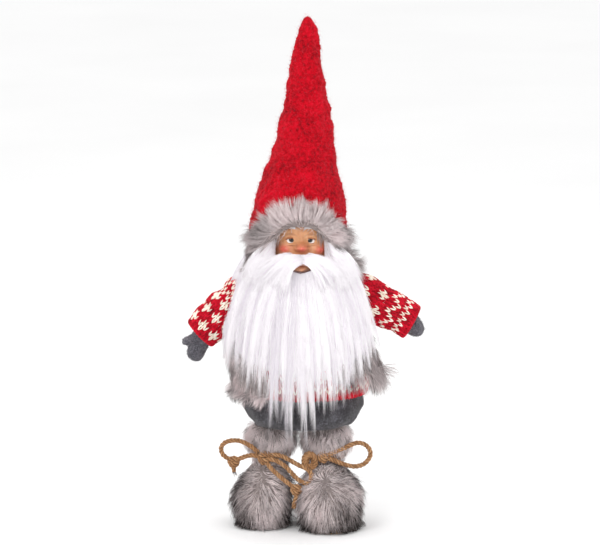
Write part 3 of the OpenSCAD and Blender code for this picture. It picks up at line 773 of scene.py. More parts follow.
def boot(side, spheres, whorl, seed, dark_tips_and_shade):
    """A stuffed fur boot, whose hair turns outward from a whorl on the toe and lies down above the floor."""
    points, faces = skin_of_spheres(f"boot_{side}", spheres, 1.3)
    points = points + normals_of(points, triangles_of(faces)) * (0.6 * noise(points, 18, seed))[:, None]
    points = clear_of(points, 0.8, f"boot_stuffing_{side}", f"sole_{side}")
    points[:, 2] = np.maximum(points[:, 2], 1.0)
    skin = place(make(f"boot_{side}", points, faces, [mat_fur_base]), "torso", "grey_fur", f"boot_fur_{side}")
    draw = np.random.default_rng(seed)
    count = 9500
    roots, normals = scatter(points, faces, count, draw, lambda p, n: (
        1.0 * (n[:, 2] > -0.9) * (p[:, 2] < 68) * (1 + 1.0 * (p[:, 2] < 14) + 3.0 * (p[:, 2] < 6))))
    away = roots - np.array(whorl, float)
    far = np.linalg.norm(away, axis=1)
    flow = (unit(away * [1.0, 0.6, 1.0]) + (0.55 + 1.2 * (roots[:, 2:3] < 14)) * DOWN
            + 0.35 * three_noises(roots, 20, seed))
    lengths = (9 + 10 * step(4, 30, far)) * draw.uniform(0.7, 1.2, count)
    lengths = lengths + 4 * step(-8, 0, -np.abs(roots[:, 0] + 5.5)) * (roots[:, 2] < 50)
    lengths = np.where(roots[:, 2] < 12, np.minimum(lengths, 13), lengths)
    lengths = np.where(roots[:, 2] > 52, np.minimum(lengths, 8), lengths)
    paths = comb(roots, normals, flow, lengths, draw, rings=5, lift=0.55, settle=0.1, droop=0.25, stray=0.14,
                 clump=6.0, hold=0.8)
    paths[..., 2] = np.where(paths[..., 2] < 3, 0.6 + 2.4 * np.exp((paths[..., 2] - 3) / 2.4), paths[..., 2])
    patch = noise(roots, 26, seed + 8)
    # the fur's own dark tips, and painted shade on the inner sides where the boots meet
    dark = dark_tips_and_shade(roots, patch) * draw.uniform(0.2, 1.2, count)
    tone = np.clip(0.42 + 0.25 * patch + draw.normal(0, 0.24, count), 0, 1)
    fur = hair(f"boot_{side}_fur", paths, draw.uniform(0.15, 0.22, count), tone, mat_fur, np.clip(dark, 0, 1),
               0.45)
    place(fur, "torso", "grey_fur")


# dark tips: more on the outer sides and lower down; on the inner sides, where the boots meet, the dark is
# painted shade between them
boot("left", BOOT_LEFT, (20, -56, 56), 61,
     lambda p, n: 1.6 * step(20, 38, p[:, 0]) * (0.9 + 0.4 * n) + 0.7 * step(12, 2, p[:, 0])
     + 1.1 * step(30, 10, p[:, 2]) + 0.5 * step(0.2, 0.9, n))
boot("right", BOOT_RIGHT, (-40, -34, 55), 71,
     lambda p, n: 1.5 * step(-40, -54, p[:, 0]) * (0.9 + 0.4 * n) + 0.9 * step(-30, -20, p[:, 0])
     + 0.7 * step(24, 8, p[:, 2]) + 0.5 * step(0.2, 0.9, n))

# ---- sweater, knitted in single V stitches ----

STITCH_W, STITCH_H = 3.95, 3.6


def leg_of_stitch():
    """Points and faces of one side of a V: a plump leaf of yarn in (up, across, out)."""
    sides = 6
    t = np.linspace(-1, 1, 7)
    half = np.sqrt(np.clip(1 - t**2, 0, 1)) ** 0.8
    angle = np.linspace(0, 2 * np.pi, sides, endpoint=False)
    up = t * STITCH_H * 0.86
    across = STITCH_W * (0.27 + 0.19 * t)
    out = 0.35 + 0.45 * np.cos(t * 1.4)
    rings = np.stack([np.broadcast_to(up[1:-1, None], (5, sides)),
                      across[1:-1, None] + half[1:-1, None] * STITCH_W * 0.205 * np.cos(angle),
                      out[1:-1, None] + half[1:-1, None] * 0.85 * np.sin(angle)], -1)
    points = np.vstack([rings.reshape(-1, 3), [[up[0], across[0], out[0]], [up[-1], across[-1], out[-1]]]])
    ends = np.arange(sides)
    return points, [grid(5, sides), fan(ends, 5 * sides, True), fan(ends + 4 * sides, 5 * sides + 1)]


def stitches(rows, columns, surface, pattern_of, seed, keep=None):
    """Points, faces and values of rows x columns of V stitches. surface takes distances up and across, in
    millimetres, and gives points and normals; row and column say where each stitch is."""
    draw = np.random.default_rng(seed)
    row, column = [a.ravel() for a in np.meshgrid(rows, columns, indexing="ij")]
    if keep is not None:
        mask = keep(row, column)
        row, column = row[mask], column[mask]
    count = len(row)
    leaf, leaf_faces = leg_of_stitch()
    parts = []
    for side in (-1, 1):
        size = len(leaf)
        local = leaf[None] * np.array([1.0, side, 1.0]) * draw.uniform(0.93, 1.06, (count, 1, 1))
        tilt = draw.normal(0, 0.05, count)[:, None]
        up = (row + 0.5)[:, None] * STITCH_H + local[..., 0] + tilt * local[..., 1]
        across = (column + 0.5)[:, None] * STITCH_W + local[..., 1] - tilt * local[..., 0]
        where, normal = surface(up.ravel(), across.ravel())
        out = local[..., 2].ravel() + draw.normal(0, 0.08, count).repeat(size)
        points = where + normal * out[:, None]
        first = (np.arange(count) * size)[:, None, None]
        faces = [(f[None] + first).reshape(-1, f.shape[1])[:, ::side] for f in leaf_faces]
        parts.append((points, faces, {"cream": np.repeat(pattern_of(row, column), size).astype(float),
                                      "tone": np.repeat(draw.random(count), size)}))
    return joined(parts)


def snowflake(row, column, rows_apart=5, columns_apart=5, shift=0):
    """Small crosses in a staggered grid."""
    band = (row - shift) // rows_apart
    r = (row - shift) % rows_apart
    c = (column + (band % 2) * (columns_apart // 2 + 1)) % columns_apart
    return ((r == 1) & (c <= 2)) | ((c == 1) & (r <= 2))


def zigzag(row, column, base, high, period):
    """A line that climbs high rows and comes down again every period columns."""
    half = period // 2
    c = column % period
    rise = np.where(c <= half, c, period - c) * high // half
    return row == base + rise


def flare(z, angle):
    """How far the loose hems of the sweater and the vest stand off on the figure's left."""
    turn = (angle + 0.35 + np.pi) % (2 * np.pi) - np.pi
    return 7.0 * np.exp(-((turn / 0.75) ** 2)) * step(182, 138, z)


sweater_rings = crumple(turned(SWEATER, (0, TORSO_Y), 120, rows=50), 0.6, 30, 5)
spoke = (sweater_rings - [0, TORSO_Y, 0]) * [1, 1, 0]
stand_off = flare(sweater_rings[..., 2], np.arctan2(spoke[..., 1], spoke[..., 0]))
sweater_rings = sweater_rings + unit(spoke) * stand_off[..., None]


SWEATER_HEM, SWEATER_GIRTH_R = 131.5, 60.0
FRONT = -np.pi / 2


def trunk_surface(up, across):
    z = SWEATER_HEM + up
    r = eased(z, SWEATER[:, 1], SWEATER[:, 0], 2.0)
    slope = (eased(z + 1, SWEATER[:, 1], SWEATER[:, 0], 2.0) - r)
    angle = FRONT + across / SWEATER_GIRTH_R
    r = r + flare(z, angle)
    out = np.stack([np.cos(angle), np.sin(angle), -slope], 1)
    where = np.stack([r * np.cos(angle), TORSO_Y + r * np.sin(angle), z], 1)
    return where + 0.6 * noise(where, 30, 5)[:, None] * unit(out), unit(out)


def trunk_pattern(row, column):
    return zigzag(row, column, 2, 1, 2) | zigzag(row, column, 5, 2, 4) | ((row > 8) & snowflake(row, column))


def trunk_shown(row, column):
    """Where the vest leaves the sweater to be seen: its front, and its armholes higher up."""
    return (row >= 18) | ((column >= -16) & (column < 24))


def knitted(name, body, node, parts):
    points, faces, values = joined(parts)
    place(make(name, points, faces, [mat_knit], values), body, "sweater_knit", node)


knitted("sweater_trunk", "torso", "sweater_body", [
    (*rings_solid(sweater_rings), {"cream": 0.0, "tone": 0.3}),
    stitches(np.arange(0, 29), np.arange(-47, 48), trunk_surface, trunk_pattern, 81, trunk_shown)])

# ---- arms ----

SHOULDER = np.array([56.0, 3.0, 228.0])
ARM_LEN, WRIST_AT = 58.0, 51.0
# each arm's side, how far it hangs down from level, and how far its hand bends down from it
ARMS = {"left": (1, math.radians(30), math.radians(10)), "right": (-1, math.radians(43), math.radians(24))}


def lowered(points, angle):
    """Points turned about Y so that +X points down by angle."""
    x = points[..., 0] * math.cos(angle) + points[..., 2] * math.sin(angle)
    z = -points[..., 0] * math.sin(angle) + points[..., 2] * math.cos(angle)
    return np.stack([x, points[..., 1], z], -1)


def from_arm(side, points):
    """Points given along an arm (x towards the cuff) in the shared frame."""
    sign, drop, _ = ARMS[side]
    return (SHOULDER + lowered(points, drop)) * [sign, 1, 1]


def from_hand(side, points):
    return from_arm(side, lowered(points, ARMS[side][2]) + [WRIST_AT, 0, 0])


SLEEVE_X = [-16, -10, 0, 12, 24, 36, 48, 56, 59]
SLEEVE_R = {"left": [9, 15.5, 18.2, 18.6, 19.2, 18.6, 16.4, 15.8, 16.2],
            "right": [9, 15.5, 18.0, 17.6, 18.8, 19.4, 17.8, 16.2, 16.6]}
FOLDS = {"left": [(10, 1.4, 5.0, 0.4), (27, 2.2, 5.5, 2.6), (43, 1.5, 4.5, 4.2)],
         "right": [(12, 1.6, 5.0, 1.2), (22, 1.8, 4.6, 3.6), (38, 2.0, 5.0, 2.2), (47, 1.2, 4.0, 5.2)]}


def sleeve_radius(side, x, angle):
    """The sleeve's radius: creases that run part of the way round, and soft lumps."""
    r = eased(x, SLEEVE_X, SLEEVE_R[side], 4.0)
    for at, deep, width, turn in FOLDS[side]:
        centre = at + 4.0 * np.sin(angle + turn)
        r = r - deep * np.exp(-(((x - centre) / width) ** 2)) * (0.55 + 0.45 * np.cos(angle - turn))
    spot = np.stack([x, 17 * np.cos(angle), 17 * np.sin(angle)], -1)
    return r + 0.8 * noise(spot.reshape(-1, 3), 24, 11 if side == "left" else 13).reshape(r.shape)


def on_sleeve(side, x, angle, inside=0.0):
    r = sleeve_radius(side, x, angle) - inside
    return from_arm(side, np.stack([x, r * np.cos(angle), r * np.sin(angle)], -1))


SLEEVE_ROWS, SLEEVE_COLUMNS, SLEEVE_GIRTH_R = 20, 30, 18.86


def sleeve_surface(side):
    def surface(up, across):
        x, angle = ARM_LEN - up, across / SLEEVE_GIRTH_R
        here = on_sleeve(side, x, angle)
        normal = np.cross(on_sleeve(side, x + 0.3, angle) - here, on_sleeve(side, x, angle + 0.02) - here)
        return here, unit(normal) * ARMS[side][0] * -1
    return surface


def left_pattern(row, column):
    return (zigzag(row, column, 2, 1, 2) | zigzag(row, column, 5, 2, 4)
            | ((row >= 9) & snowflake(row, column, shift=9)))


def right_pattern(row, column):
    return (zigzag(row, column, 12, 1, 2) | zigzag(row, column, 14, 2, 4)
            | ((row >= 1) & (row <= 11) & snowflake(row, column, 4, 4, 1)))


def sleeve(side, pattern_of, seed):
    """A stuffed sleeve whose cuff turns inward, with a rolled edge, single stitches and fuzz."""
    stations = np.concatenate([np.linspace(-16, 56, 60), [57.2, 58.2, 58.6, 58.2, 57.2, 52, 44, 36]])
    inside = np.concatenate([np.full(60, 0.3), [0.1, 0.5, 1.4, 2.6, 3.2, 3.2, 3.4, 3.6]])
    x, angle = np.meshgrid(stations, np.linspace(0, 2 * np.pi, 72, endpoint=False), indexing="ij")
    base, base_faces = rings_solid(on_sleeve(side, x, angle, inside[:, None]), flip=side == "left")
    knit = stitches(np.arange(SLEEVE_ROWS), np.arange(SLEEVE_COLUMNS), sleeve_surface(side), pattern_of, seed)
    t = np.linspace(0, 2 * np.pi, 90)
    r = sleeve_radius(side, np.full(90, ARM_LEN), t) - 0.9
    edge = from_arm(side, np.stack([np.full(90, 58.2), r * np.cos(t), r * np.sin(t)], -1))
    roll = tube(edge, 1.5 + 0.25 * np.cos(t * 30), 8)
    knitted(f"sleeve_{side}", f"{side}_arm", f"sleeve_{side}", [
        (base, base_faces, {"cream": 0.0, "tone": 0.2}), knit, (*roll, {"cream": 0.0, "tone": 0.5})])
    outside = from_arm(side, np.array([30.0, 0, 0]))
    place(fuzz(f"sleeve_{side}_fuzz", base, base_faces, 2600, seed + 1, (1.2, 3.2), 0.05, mat_hat_fibre,
               lambda p, n: np.where(np.linalg.norm(p - outside, axis=1) < 46, 1.0, 0.0), raised=0.8,
               settle=0.2, droop=0.05, sink=0), f"{side}_arm", "sweater_knit")


sleeve("left", left_pattern, 91)
sleeve("right", right_pattern, 95)

# ---- mittens ----

HANDS = {"left": between((-8, 0, 0, 10.5), (8, 0, 0, 10)) + between((8, 0, 0, 10), (15, 0, -0.5, 8)),
         "right": (between((-8, 0, 0, 9), (10, 0, 0, 9.8)) + between((10, 0, 0, 9.8), (26, 0, -0.5, 8.6))
                   + between((12, -1, 3, 4.8), (19, -3, 12.4, 4.2), 12))}


def mitten(side, seed):
    spheres = np.array(HANDS[side])
    middle = from_hand(side, spheres[:, :3])
    points, faces = skin_of_spheres(f"mitten_{side}", np.concatenate([middle, spheres[:, 3:]], 1), 0.8)
    points = clear_of(points, 0.8, f"hand_stuffing_{side}")
    normals = normals_of(points, triangles_of(faces))
    points = points + normals * (0.35 * noise(points, 5, seed) + 0.25 * noise(points, 2.4, seed + 1))[:, None]
    body = f"{side}_hand"
    name = f"mitten_{side}"
    place(make(name, points, faces, [mat_mitten]), body, "mitten_felt", name)
    place(fuzz(name + "_fuzz", points, faces, 3800, seed, (0.8, 3.0), 0.06, mat_mitten_fuzz, settle=0.1,
               droop=0.0, stray=0.6), body, "mitten_felt")


mitten("left", 101)
mitten("right", 105)

# ---- fur vest and collar ----


def swept_shell(outer, inner, start, end, columns, rows, low, top):
    """Points and faces of a closed shell between two outlines, swept from angle start to end. low and top give
    the heights of its edges at each angle."""
    def side(line, angle):
        line = np.array(line, float)
        z = np.linspace(low(angle), top(angle), rows)
        r = eased(z, line[:, 1], line[:, 0], 2.0) + flare(z, angle)
        return np.stack([r * np.cos(angle), TORSO_Y + r * np.sin(angle), z], 1)
    return rings_solid(np.array([np.vstack([side(outer, a), side(inner, a)[::-1]])
                                 for a in np.linspace(start, end, columns)]))


def vest_top(angle):
    """The vest's upper edge dips under each arm."""
    off = min(abs((angle - arm + np.pi) % (2 * np.pi) - np.pi) for arm in (0.0, np.pi))
    return 231 - 30 * (1 - step(0.42, 0.75, off))


def vest_low(angle):
    """The vest hangs lower on the figure's right than on its left."""
    turn = (angle + 0.5 + np.pi) % (2 * np.pi) - np.pi
    return 134 + 22 * np.exp(-((turn / 0.8) ** 2))


def fur_piece(name, points, faces, count, seed, weight, flow_of, length_of_hair, nodes, dark_of, shape,
              clump=5.0, hold=0.6):
    """A fur cloth: its closed backing, and its pile as hairs."""
    skin = place(make(name, points, faces, [mat_fur_base]), "torso", "grey_fur", *nodes)
    draw = np.random.default_rng(seed)
    roots, normals = scatter(points, faces, count, draw, weight)
    flow = flow_of(roots, normals) + 0.28 * three_noises(roots, 22, seed)
    lengths = length_of_hair(roots) * draw.uniform(0.7, 1.15, count)
    paths = comb(roots, normals, flow, lengths, draw, clump=clump, hold=hold, **{"stray": 0.16, **shape})
    patch = noise(roots, 24, seed + 9)
    dark = np.clip(dark_of(roots, patch) * draw.uniform(0.5, 1.0, count), 0, 1)
    tone = np.clip(0.5 + 0.3 * patch + draw.normal(0, 0.22, count), 0, 1)
    pile = hair(f"{name}_pile", paths, draw.uniform(0.15, 0.22, count), tone, mat_fur, dark, 0.4)
    return skin, place(pile, "torso", "grey_fur")


def level(p, middle):
    """Unit directions out from an upright axis through middle."""
    return unit((p - middle) * [1, 1, 0])


TORSO_AXIS = np.array([0, TORSO_Y, 0])
VEST_THICK = 4.5
points, faces = swept_shell(VEST, VEST - [VEST_THICK, 0], FRONT + math.radians(32), FRONT + math.radians(328),
                            130, 26, vest_low, vest_top)
vest, vest_pile = fur_piece(
    "fur_vest", points, faces, 16000, 111,
    lambda p, n: 1.0 * ((n * (p - TORSO_AXIS) * [1, 1, 0]).sum(1) > 0) * (1 + 1.2 * (p[:, 2] < 135)),
    lambda p, n: DOWN + 0.25 * n,
    lambda p: 19.0 + 14.0 * step(35, 60, p[:, 0]) * (p[:, 2] < 172), ["fur_vest"],
    lambda p, patch: np.clip(0.45 + 0.7 * patch + 0.5 * step(20, 60, p[:, 0]), 0, 1),
    {"lift": 0.5, "settle": 0.14, "droop": 0.3}, clump=6.0, hold=0.75)

# the collar, rolled round the neck and open at the front
COLLAR_Z, COLLAR_R, COLLAR_ROLL = 252.0, 34.5, 7.5
angle = np.linspace(FRONT + math.radians(44), FRONT + math.radians(316), 90)
middle = np.stack([COLLAR_R * np.cos(angle), TORSO_Y + COLLAR_R * np.sin(angle), np.full(90, COLLAR_Z)], 1)
from_end = np.minimum(np.arange(90), np.arange(90)[::-1])
points, faces = tube(middle, COLLAR_ROLL * np.clip(from_end / 6, 0.3, 1), 20)


def collar_flow(p, n):
    """Out and down, and more outward on the figure's left."""
    left = step(0, 25, p[:, :1])
    return level(p, TORSO_AXIS) * (0.9 + 0.4 * left) + DOWN * (0.8 - 0.3 * left)


fur_piece(
    "fur_collar", points, faces, 6500, 121, lambda p, n: 1.0 * ((n * level(p, TORSO_AXIS)).sum(1) > -0.3),
    collar_flow, lambda p: 18.0 + 9.0 * step(0, 25, p[:, 0]), ["fur_collar"],
    lambda p, patch: np.clip(0.6 + 0.5 * patch + 0.4 * step(10, 30, p[:, 0]), 0, 1),
    {"lift": 0.5, "settle": 0.12, "droop": 0.35}, hold=0.55)

# ---- head ----

FACE_Z = np.array([254, 256, 259, 263, 267, 272, 277, 284, 290, 297, 304, 310, 314, 316])
FACE_R = np.array([12, 19, 23.5, 26, 27.8, 29, 29.5, 29.6, 29.4, 28.6, 25.8, 20.5, 13.5, 1])
EYES = ((-9.9, 285.8), (8.3, 285.6))  # the figure's right and left one
BROWS = (-10.3, 6.8)


def bump_at(x, z, cx, cz, wide, tall):
    return np.exp(-(((x - cx) / wide) ** 2) - ((z - cz) / tall) ** 2)


def face_relief(x, z):
    """How far the painted face stands out from a plain round head, seen from the front."""
    def g(*at):
        return bump_at(x, z, *at)
    nostrils = g(-4.8, 279.2, 2.5, 2.2) + g(5.6, 279.2, 2.5, 2.2)
    relief = 2.0 * g(0.0, 288, 3.0, 6.5) + 9.5 * g(0.4, 280.2, 4.3, 4.0) + 3.0 * nostrils
    for side, (ex, ez) in zip((-1, 1), EYES):
        relief = relief - 2.0 * g(ex, ez + 0.4, 5.4, 3.6) + 0.7 * g(ex + side * 0.5, 297.0, 7.0, 3.0)
        relief = relief + 0.9 * g(ex, 282.6, 5.2, 1.3) - 0.5 * g(ex + side * 2, 280.6, 5.0, 0.9)
        relief = relief - 0.5 * g(ex + side * 8.0, 286.5, 2.0, 3.0)
    relief = relief + 3.6 * g(-17.2, 276.5, 6.8, 5.6) + 3.6 * g(19.0, 276.5, 6.8, 5.6)
    relief = relief - 0.9 * g(-9.5, 277.5, 2.2, 4.0) - 0.9 * g(11.0, 277.5, 2.2, 4.0)
    relief = relief + 10.5 * g(-1.0, 258.0, 11.0, 8.0)  # chin and mouth
    return (relief + 4.4 * g(-1.3, 257.6, 8.5, 3.3) - 1.4 * g(-1.2, 262.0, 6.5, 0.9)
            + 1.4 * g(-1.2, 264.4, 7.5, 2.0))


columns, rows = 260, 150
share = np.linspace(0, 1, rows)
angle = np.linspace(0, 2 * np.pi, columns, endpoint=False)
z = np.repeat((254 + 62 * (share + 0.04 * np.sin(2 * np.pi * share)))[:, None], columns, 1)
r = eased(z, FACE_Z, FACE_R, 1.6)
x = r * np.cos(angle)
relief = face_relief(x, z) * step(0.0, 0.5, -np.sin(angle))
uneven = noise(np.stack([x, r * np.sin(angle), z], -1).reshape(-1, 3), 3.2, 8).reshape(x.shape)
r = r + 0.15 * uneven
points, faces = rings_solid(np.stack([r * np.cos(angle), HEAD_Y + r * np.sin(angle) - relief, z], -1))
px, pz = points[:, 0], points[:, 2]


def painted(*spots):
    """Paint on the front of the face, from (amount, x, z, width, height) spots."""
    front = (points[:, 1] < HEAD_Y).astype(float)
    return np.clip(sum(amount * bump_at(px, pz, *at) for amount, *at in spots), 0, 1) * front


blush = painted((1.1, -17.2, 277.5, 6.0, 4.2), (1.1, 19.0, 276.8, 6.0, 4.2), (1.1, 0.5, 279.0, 5.2, 4.0),
                (0.25, 0, 262, 12, 3))
brow = painted(*((1.2, cx, 298.6 - 0.03 * (px - cx) ** 2, 4.6, 0.8) for cx in BROWS))
lip = painted((1.4, -1.3, 257.8, 8.0, 2.9))
# painted shade: brown in the creases above and below each eye, at the mouth's gap and in the nostrils
hollow_shade = painted(*((0.55, ex, ez + 6.6 - 0.06 * (px - ex) ** 2, 6.5, 1.0) for ex, ez in EYES),
                 *((0.45, ex, ez - 4.6 + 0.03 * (px - ex) ** 2, 5.5, 0.8) for ex, ez in EYES),
                 (0.9, -1.2, 262.0, 6.2, 0.8), (0.35, -4.9, 281.5, 1.0, 2.4), (0.35, 5.9, 281.5, 1.0, 2.4))


def skin_material():
    """Painted resin: warm skin with rosy cheeks, white brows and brown painted shade in the hollows."""
    m, tree, shader, where = base_material("resin_skin", 0.42, specular=0.45)
    shader.inputs["Coat Weight"].default_value = 0.15
    shader.inputs["Coat Roughness"].default_value = 0.25
    shader.inputs["Subsurface Weight"].default_value = 0.08
    shader.inputs["Subsurface Scale"].default_value = 0.002
    wash = pattern(tree, where, 130, 3.0)
    skin = ramp(tree, wash, [(0.3, "c08257"), (0.5, "cf9467"), (0.7, "dfaa80")])
    # brown painted shade in the hollows and at the lid edges
    skin = blend_colour(tree, value_of(tree, "hollow_shade"), skin, colour("7a4a2c"))
    spots = pattern(tree, where, 420, 2.0)
    rosy = ramp(tree, spots, [(0.3, "c9423c"), (0.7, "e0695a")])
    skin = blend_colour(tree, maths(tree, "MULTIPLY", value_of(tree, "blush"), 0.85), skin, rosy)
    skin = blend_colour(tree, maths(tree, "MULTIPLY", value_of(tree, "lip"), 0.7), skin, colour("d39b7c"))
    skin = blend_colour(tree, value_of(tree, "brow"), skin, colour("f4f0f0"))
    tree.links.new(skin, shader.inputs["Base Color"])
    bump(tree, shader, pattern(tree, where, 900, 2.0), 0.00008)
    return m


mat_skin = skin_material()
neck = rings_solid(turned([[13, 236], [13, 250], [12.5, 262]], (0, -4), 60, rows=20))
points, faces, values = joined([(points, faces, {"blush": blush, "brow": brow, "lip": lip, "hollow_shade": hollow_shade}),
                                (*neck, {"blush": 0.0, "brow": 0.0, "lip": 0.0, "hollow_shade": 0.0})])
place(make("head", points, faces, [mat_skin], values), "torso", "resin_skin", "head")


def face_depth(x, z):
    """The face's own y at a place seen from the front."""
    r = eased(z, FACE_Z, FACE_R, 1.6)
    return HEAD_Y - math.sqrt(max(r * r - x * x, 0)) - float(face_relief(np.array([x]), np.array([z]))[0])


def eye_material():
    m, tree, shader, where = base_material("painted_eye", 0.2, specular=0.35)
    shader.inputs["Coat Weight"].default_value = 0.2
    shader.inputs["Coat Roughness"].default_value = 0.08
    ring = value_of(tree, "iris")
    fleck = pattern(tree, where, 2500, 1.0)
    off = maths(tree, "ADD", ring, maths(tree, "MULTIPLY", maths(tree, "SUBTRACT", fleck, 0.5), 0.08))
    painted_rings = ramp(tree, off, [(0.0, "050505"), (0.24, "0a0808"), (0.29, "3a332e"), (0.38, "241e1b"),
                                     (0.46, "0f0c0b"), (0.51, "efe9e6"), (1.0, "f6f2f0")])
    tree.links.new(painted_rings, shader.inputs["Base Color"])
    return m


mat_eye = eye_material()
EYE_R = 4.9


def eyelid(centre, side, edge, far, bulge, shade):
    """A closed curved shell from the opening's edge to far behind it, both as heights in radians."""
    t = np.linspace(-1.35, 1.35, 30)
    v = np.linspace(0, 1, 9)
    arch = edge * np.cos(t * 1.05) ** 0.7 - 0.11 * side * t
    lifts = lerp(arch, far, v[:, None])
    direction = np.stack([np.sin(t) * np.cos(lifts), -np.cos(t) * np.cos(lifts), np.sin(lifts)], -1)
    plump = EYE_R + 0.35 + 0.6 * bulge * np.exp(-((v - 0.12) / 0.25) ** 2)[:, None, None]
    loop = np.concatenate([centre + direction * plump, (centre + direction * (EYE_R - 0.3))[::-1]], 0)
    edge_shade = np.tile(np.concatenate([np.exp(-v / 0.10), np.exp(-v / 0.10)[::-1]]), 30)
    return (*rings_solid(loop.transpose(1, 0, 2), flip=edge < 0),
            {"blush": 0.1, "brow": 0.0, "lip": 0.0, "hollow_shade": np.append(edge_shade, [0, 0]) * shade})


def eye(name, side, ex, ez):
    """An eyeball with its iris turned to the front, and two lids."""
    y = HEAD_Y - math.sqrt(29.5**2 - ex**2) + 1.5 + EYE_R * 0.72
    centre = np.array([ex, y, ez - 0.2])
    gaze = unit(np.array([-ex * 0.008, -1.0, 0.34]))
    angle = np.linspace(0, 2 * np.pi, 56, endpoint=False)[:, None]
    off = np.linspace(0.01, np.pi * 0.62, 44)
    across = unit(np.cross(gaze, [0, 0, 1.0]))
    round_gaze = np.cos(angle) * across + np.sin(angle) * np.cross(across, gaze)
    off_gaze = off[:, None, None]
    ball = np.cos(off_gaze) * gaze + np.sin(off_gaze) * round_gaze
    points, faces = rings_solid(centre + EYE_R * ball, flip=True)
    iris = np.concatenate([np.repeat(off / 1.2, 56), [0.0, 1.0]])
    place(make(f"eye_{name}", points, faces, [mat_eye], {"iris": iris}), "torso", "resin_skin")
    points, faces, values = joined([eyelid(centre, side, 0.50, 1.5, 1.2, 1.0),
                                    eyelid(centre, side, -0.36, -1.4, 0.9, 0.45)])
    place(make(f"eyelids_{name}", points, faces, [mat_skin], values), "torso", "resin_skin")


eye("right", -1, *EYES[0])
eye("left", 1, *EYES[1])


def white_hair(name, paths, radius, tone, taper=0.25):
    return place(hair(name, paths, radius, tone, mat_beard, 0.0, taper), "torso", "white_hair")


def brows():
    """Two thin white brows of short combed hairs, just under the fur."""
    draw = np.random.default_rng(129)
    count = 360
    side = np.where(np.arange(count) % 2, 1.0, -1.0)
    centre = np.where(side > 0, BROWS[1], BROWS[0])[:, None]
    off = draw.uniform(-4.5, 1.0, count)[:, None]
    s = np.linspace(0, 1, 5)
    arc = np.sin(np.pi * s)
    x = centre + side[:, None] * (off + 3.5 * s)
    z = 298.8 - 0.03 * (x - centre) ** 2 + draw.normal(0, 0.45, count)[:, None] + 0.3 * arc
    y = np.array([[face_depth(a, b) for a, b in zip(p, q)] for p, q in zip(x, z)]) - 0.2 - 0.5 * arc
    white_hair("brow_hair", np.stack([x, y, z], -1), 0.11, draw.random(count))


brows()

# ---- beard and moustache ----


def beard_surface(x, z, deep):
    """The beard's y at a place seen from the front, deep millimetres inside its outer surface."""
    r = eased(z, BEARD[:, 1], BEARD[:, 0], 5.0) - deep
    return TORSO_Y - np.sqrt(np.maximum(r * r - x * x, 80.0))


FAN_U = np.array([-1.0, -0.75, -0.5, -0.25, 0.0, 0.25, 0.5, 0.75, 1.0])
FAN_ROOT = np.array([[-30, -30, 289], [-28, -37, 276], [-21, -46, 265], [-11, -49.5, 258], [-1, -49, 255],
                     [9, -49.5, 258], [19, -46, 265], [26, -38, 276], [27, -30, 287]], float)
FAN_BEND = np.array([[-77, 0, 260], [-70, 0, 248], [-51, 0, 232], [-23, 0, 215], [0, 0, 200],
                     [20, 0, 214], [43, 0, 226], [57, 0, 238], [63, 0, 254]], float)
FAN_TIP = np.array([[-79, 0, 172], [-70, 0, 148], [-52, 0, 130], [-27, 0, 113], [0, 0, 105],
                    [25, 0, 112], [47, 0, 128], [64, 0, 148], [72, 0, 172]], float)


def fan_of(table, u):
    return np.stack([np.interp(u, FAN_U, table[:, i]) for i in range(3)], 1)


def curve(start, bend, end, t):
    """Points of curves drawn from start to end and pulled towards bend."""
    return (1 - t) ** 2 * start[:, None] + 2 * t * (1 - t) * bend[:, None] + t**2 * end[:, None]


def beard_paths(u_root, u_tip, begin, reach, deep, wave):
    """Long hairs that leave the face, fan out over the chest and hang to their tips."""
    a, b, c = fan_of(FAN_ROOT, u_root), fan_of(FAN_BEND, lerp(u_root, u_tip, 0.5)), fan_of(FAN_TIP, u_tip)
    c = c + wave[:, None] * np.array([1.0, 0, 0.4])
    t = begin[:, None] + np.linspace(0, 1, 9) * (reach - begin)[:, None]
    line = curve(a, b, c, t[..., None])
    x, z = line[..., 0], line[..., 2]
    surface = beard_surface(x, z, deep[:, None] + 7 * step(0.75, 1.05, t))
    y = lerp(a[:, 1:2] + deep[:, None] * 0.3, surface, step(0.0, 0.28, t))
    return np.stack([x, y, z], -1)


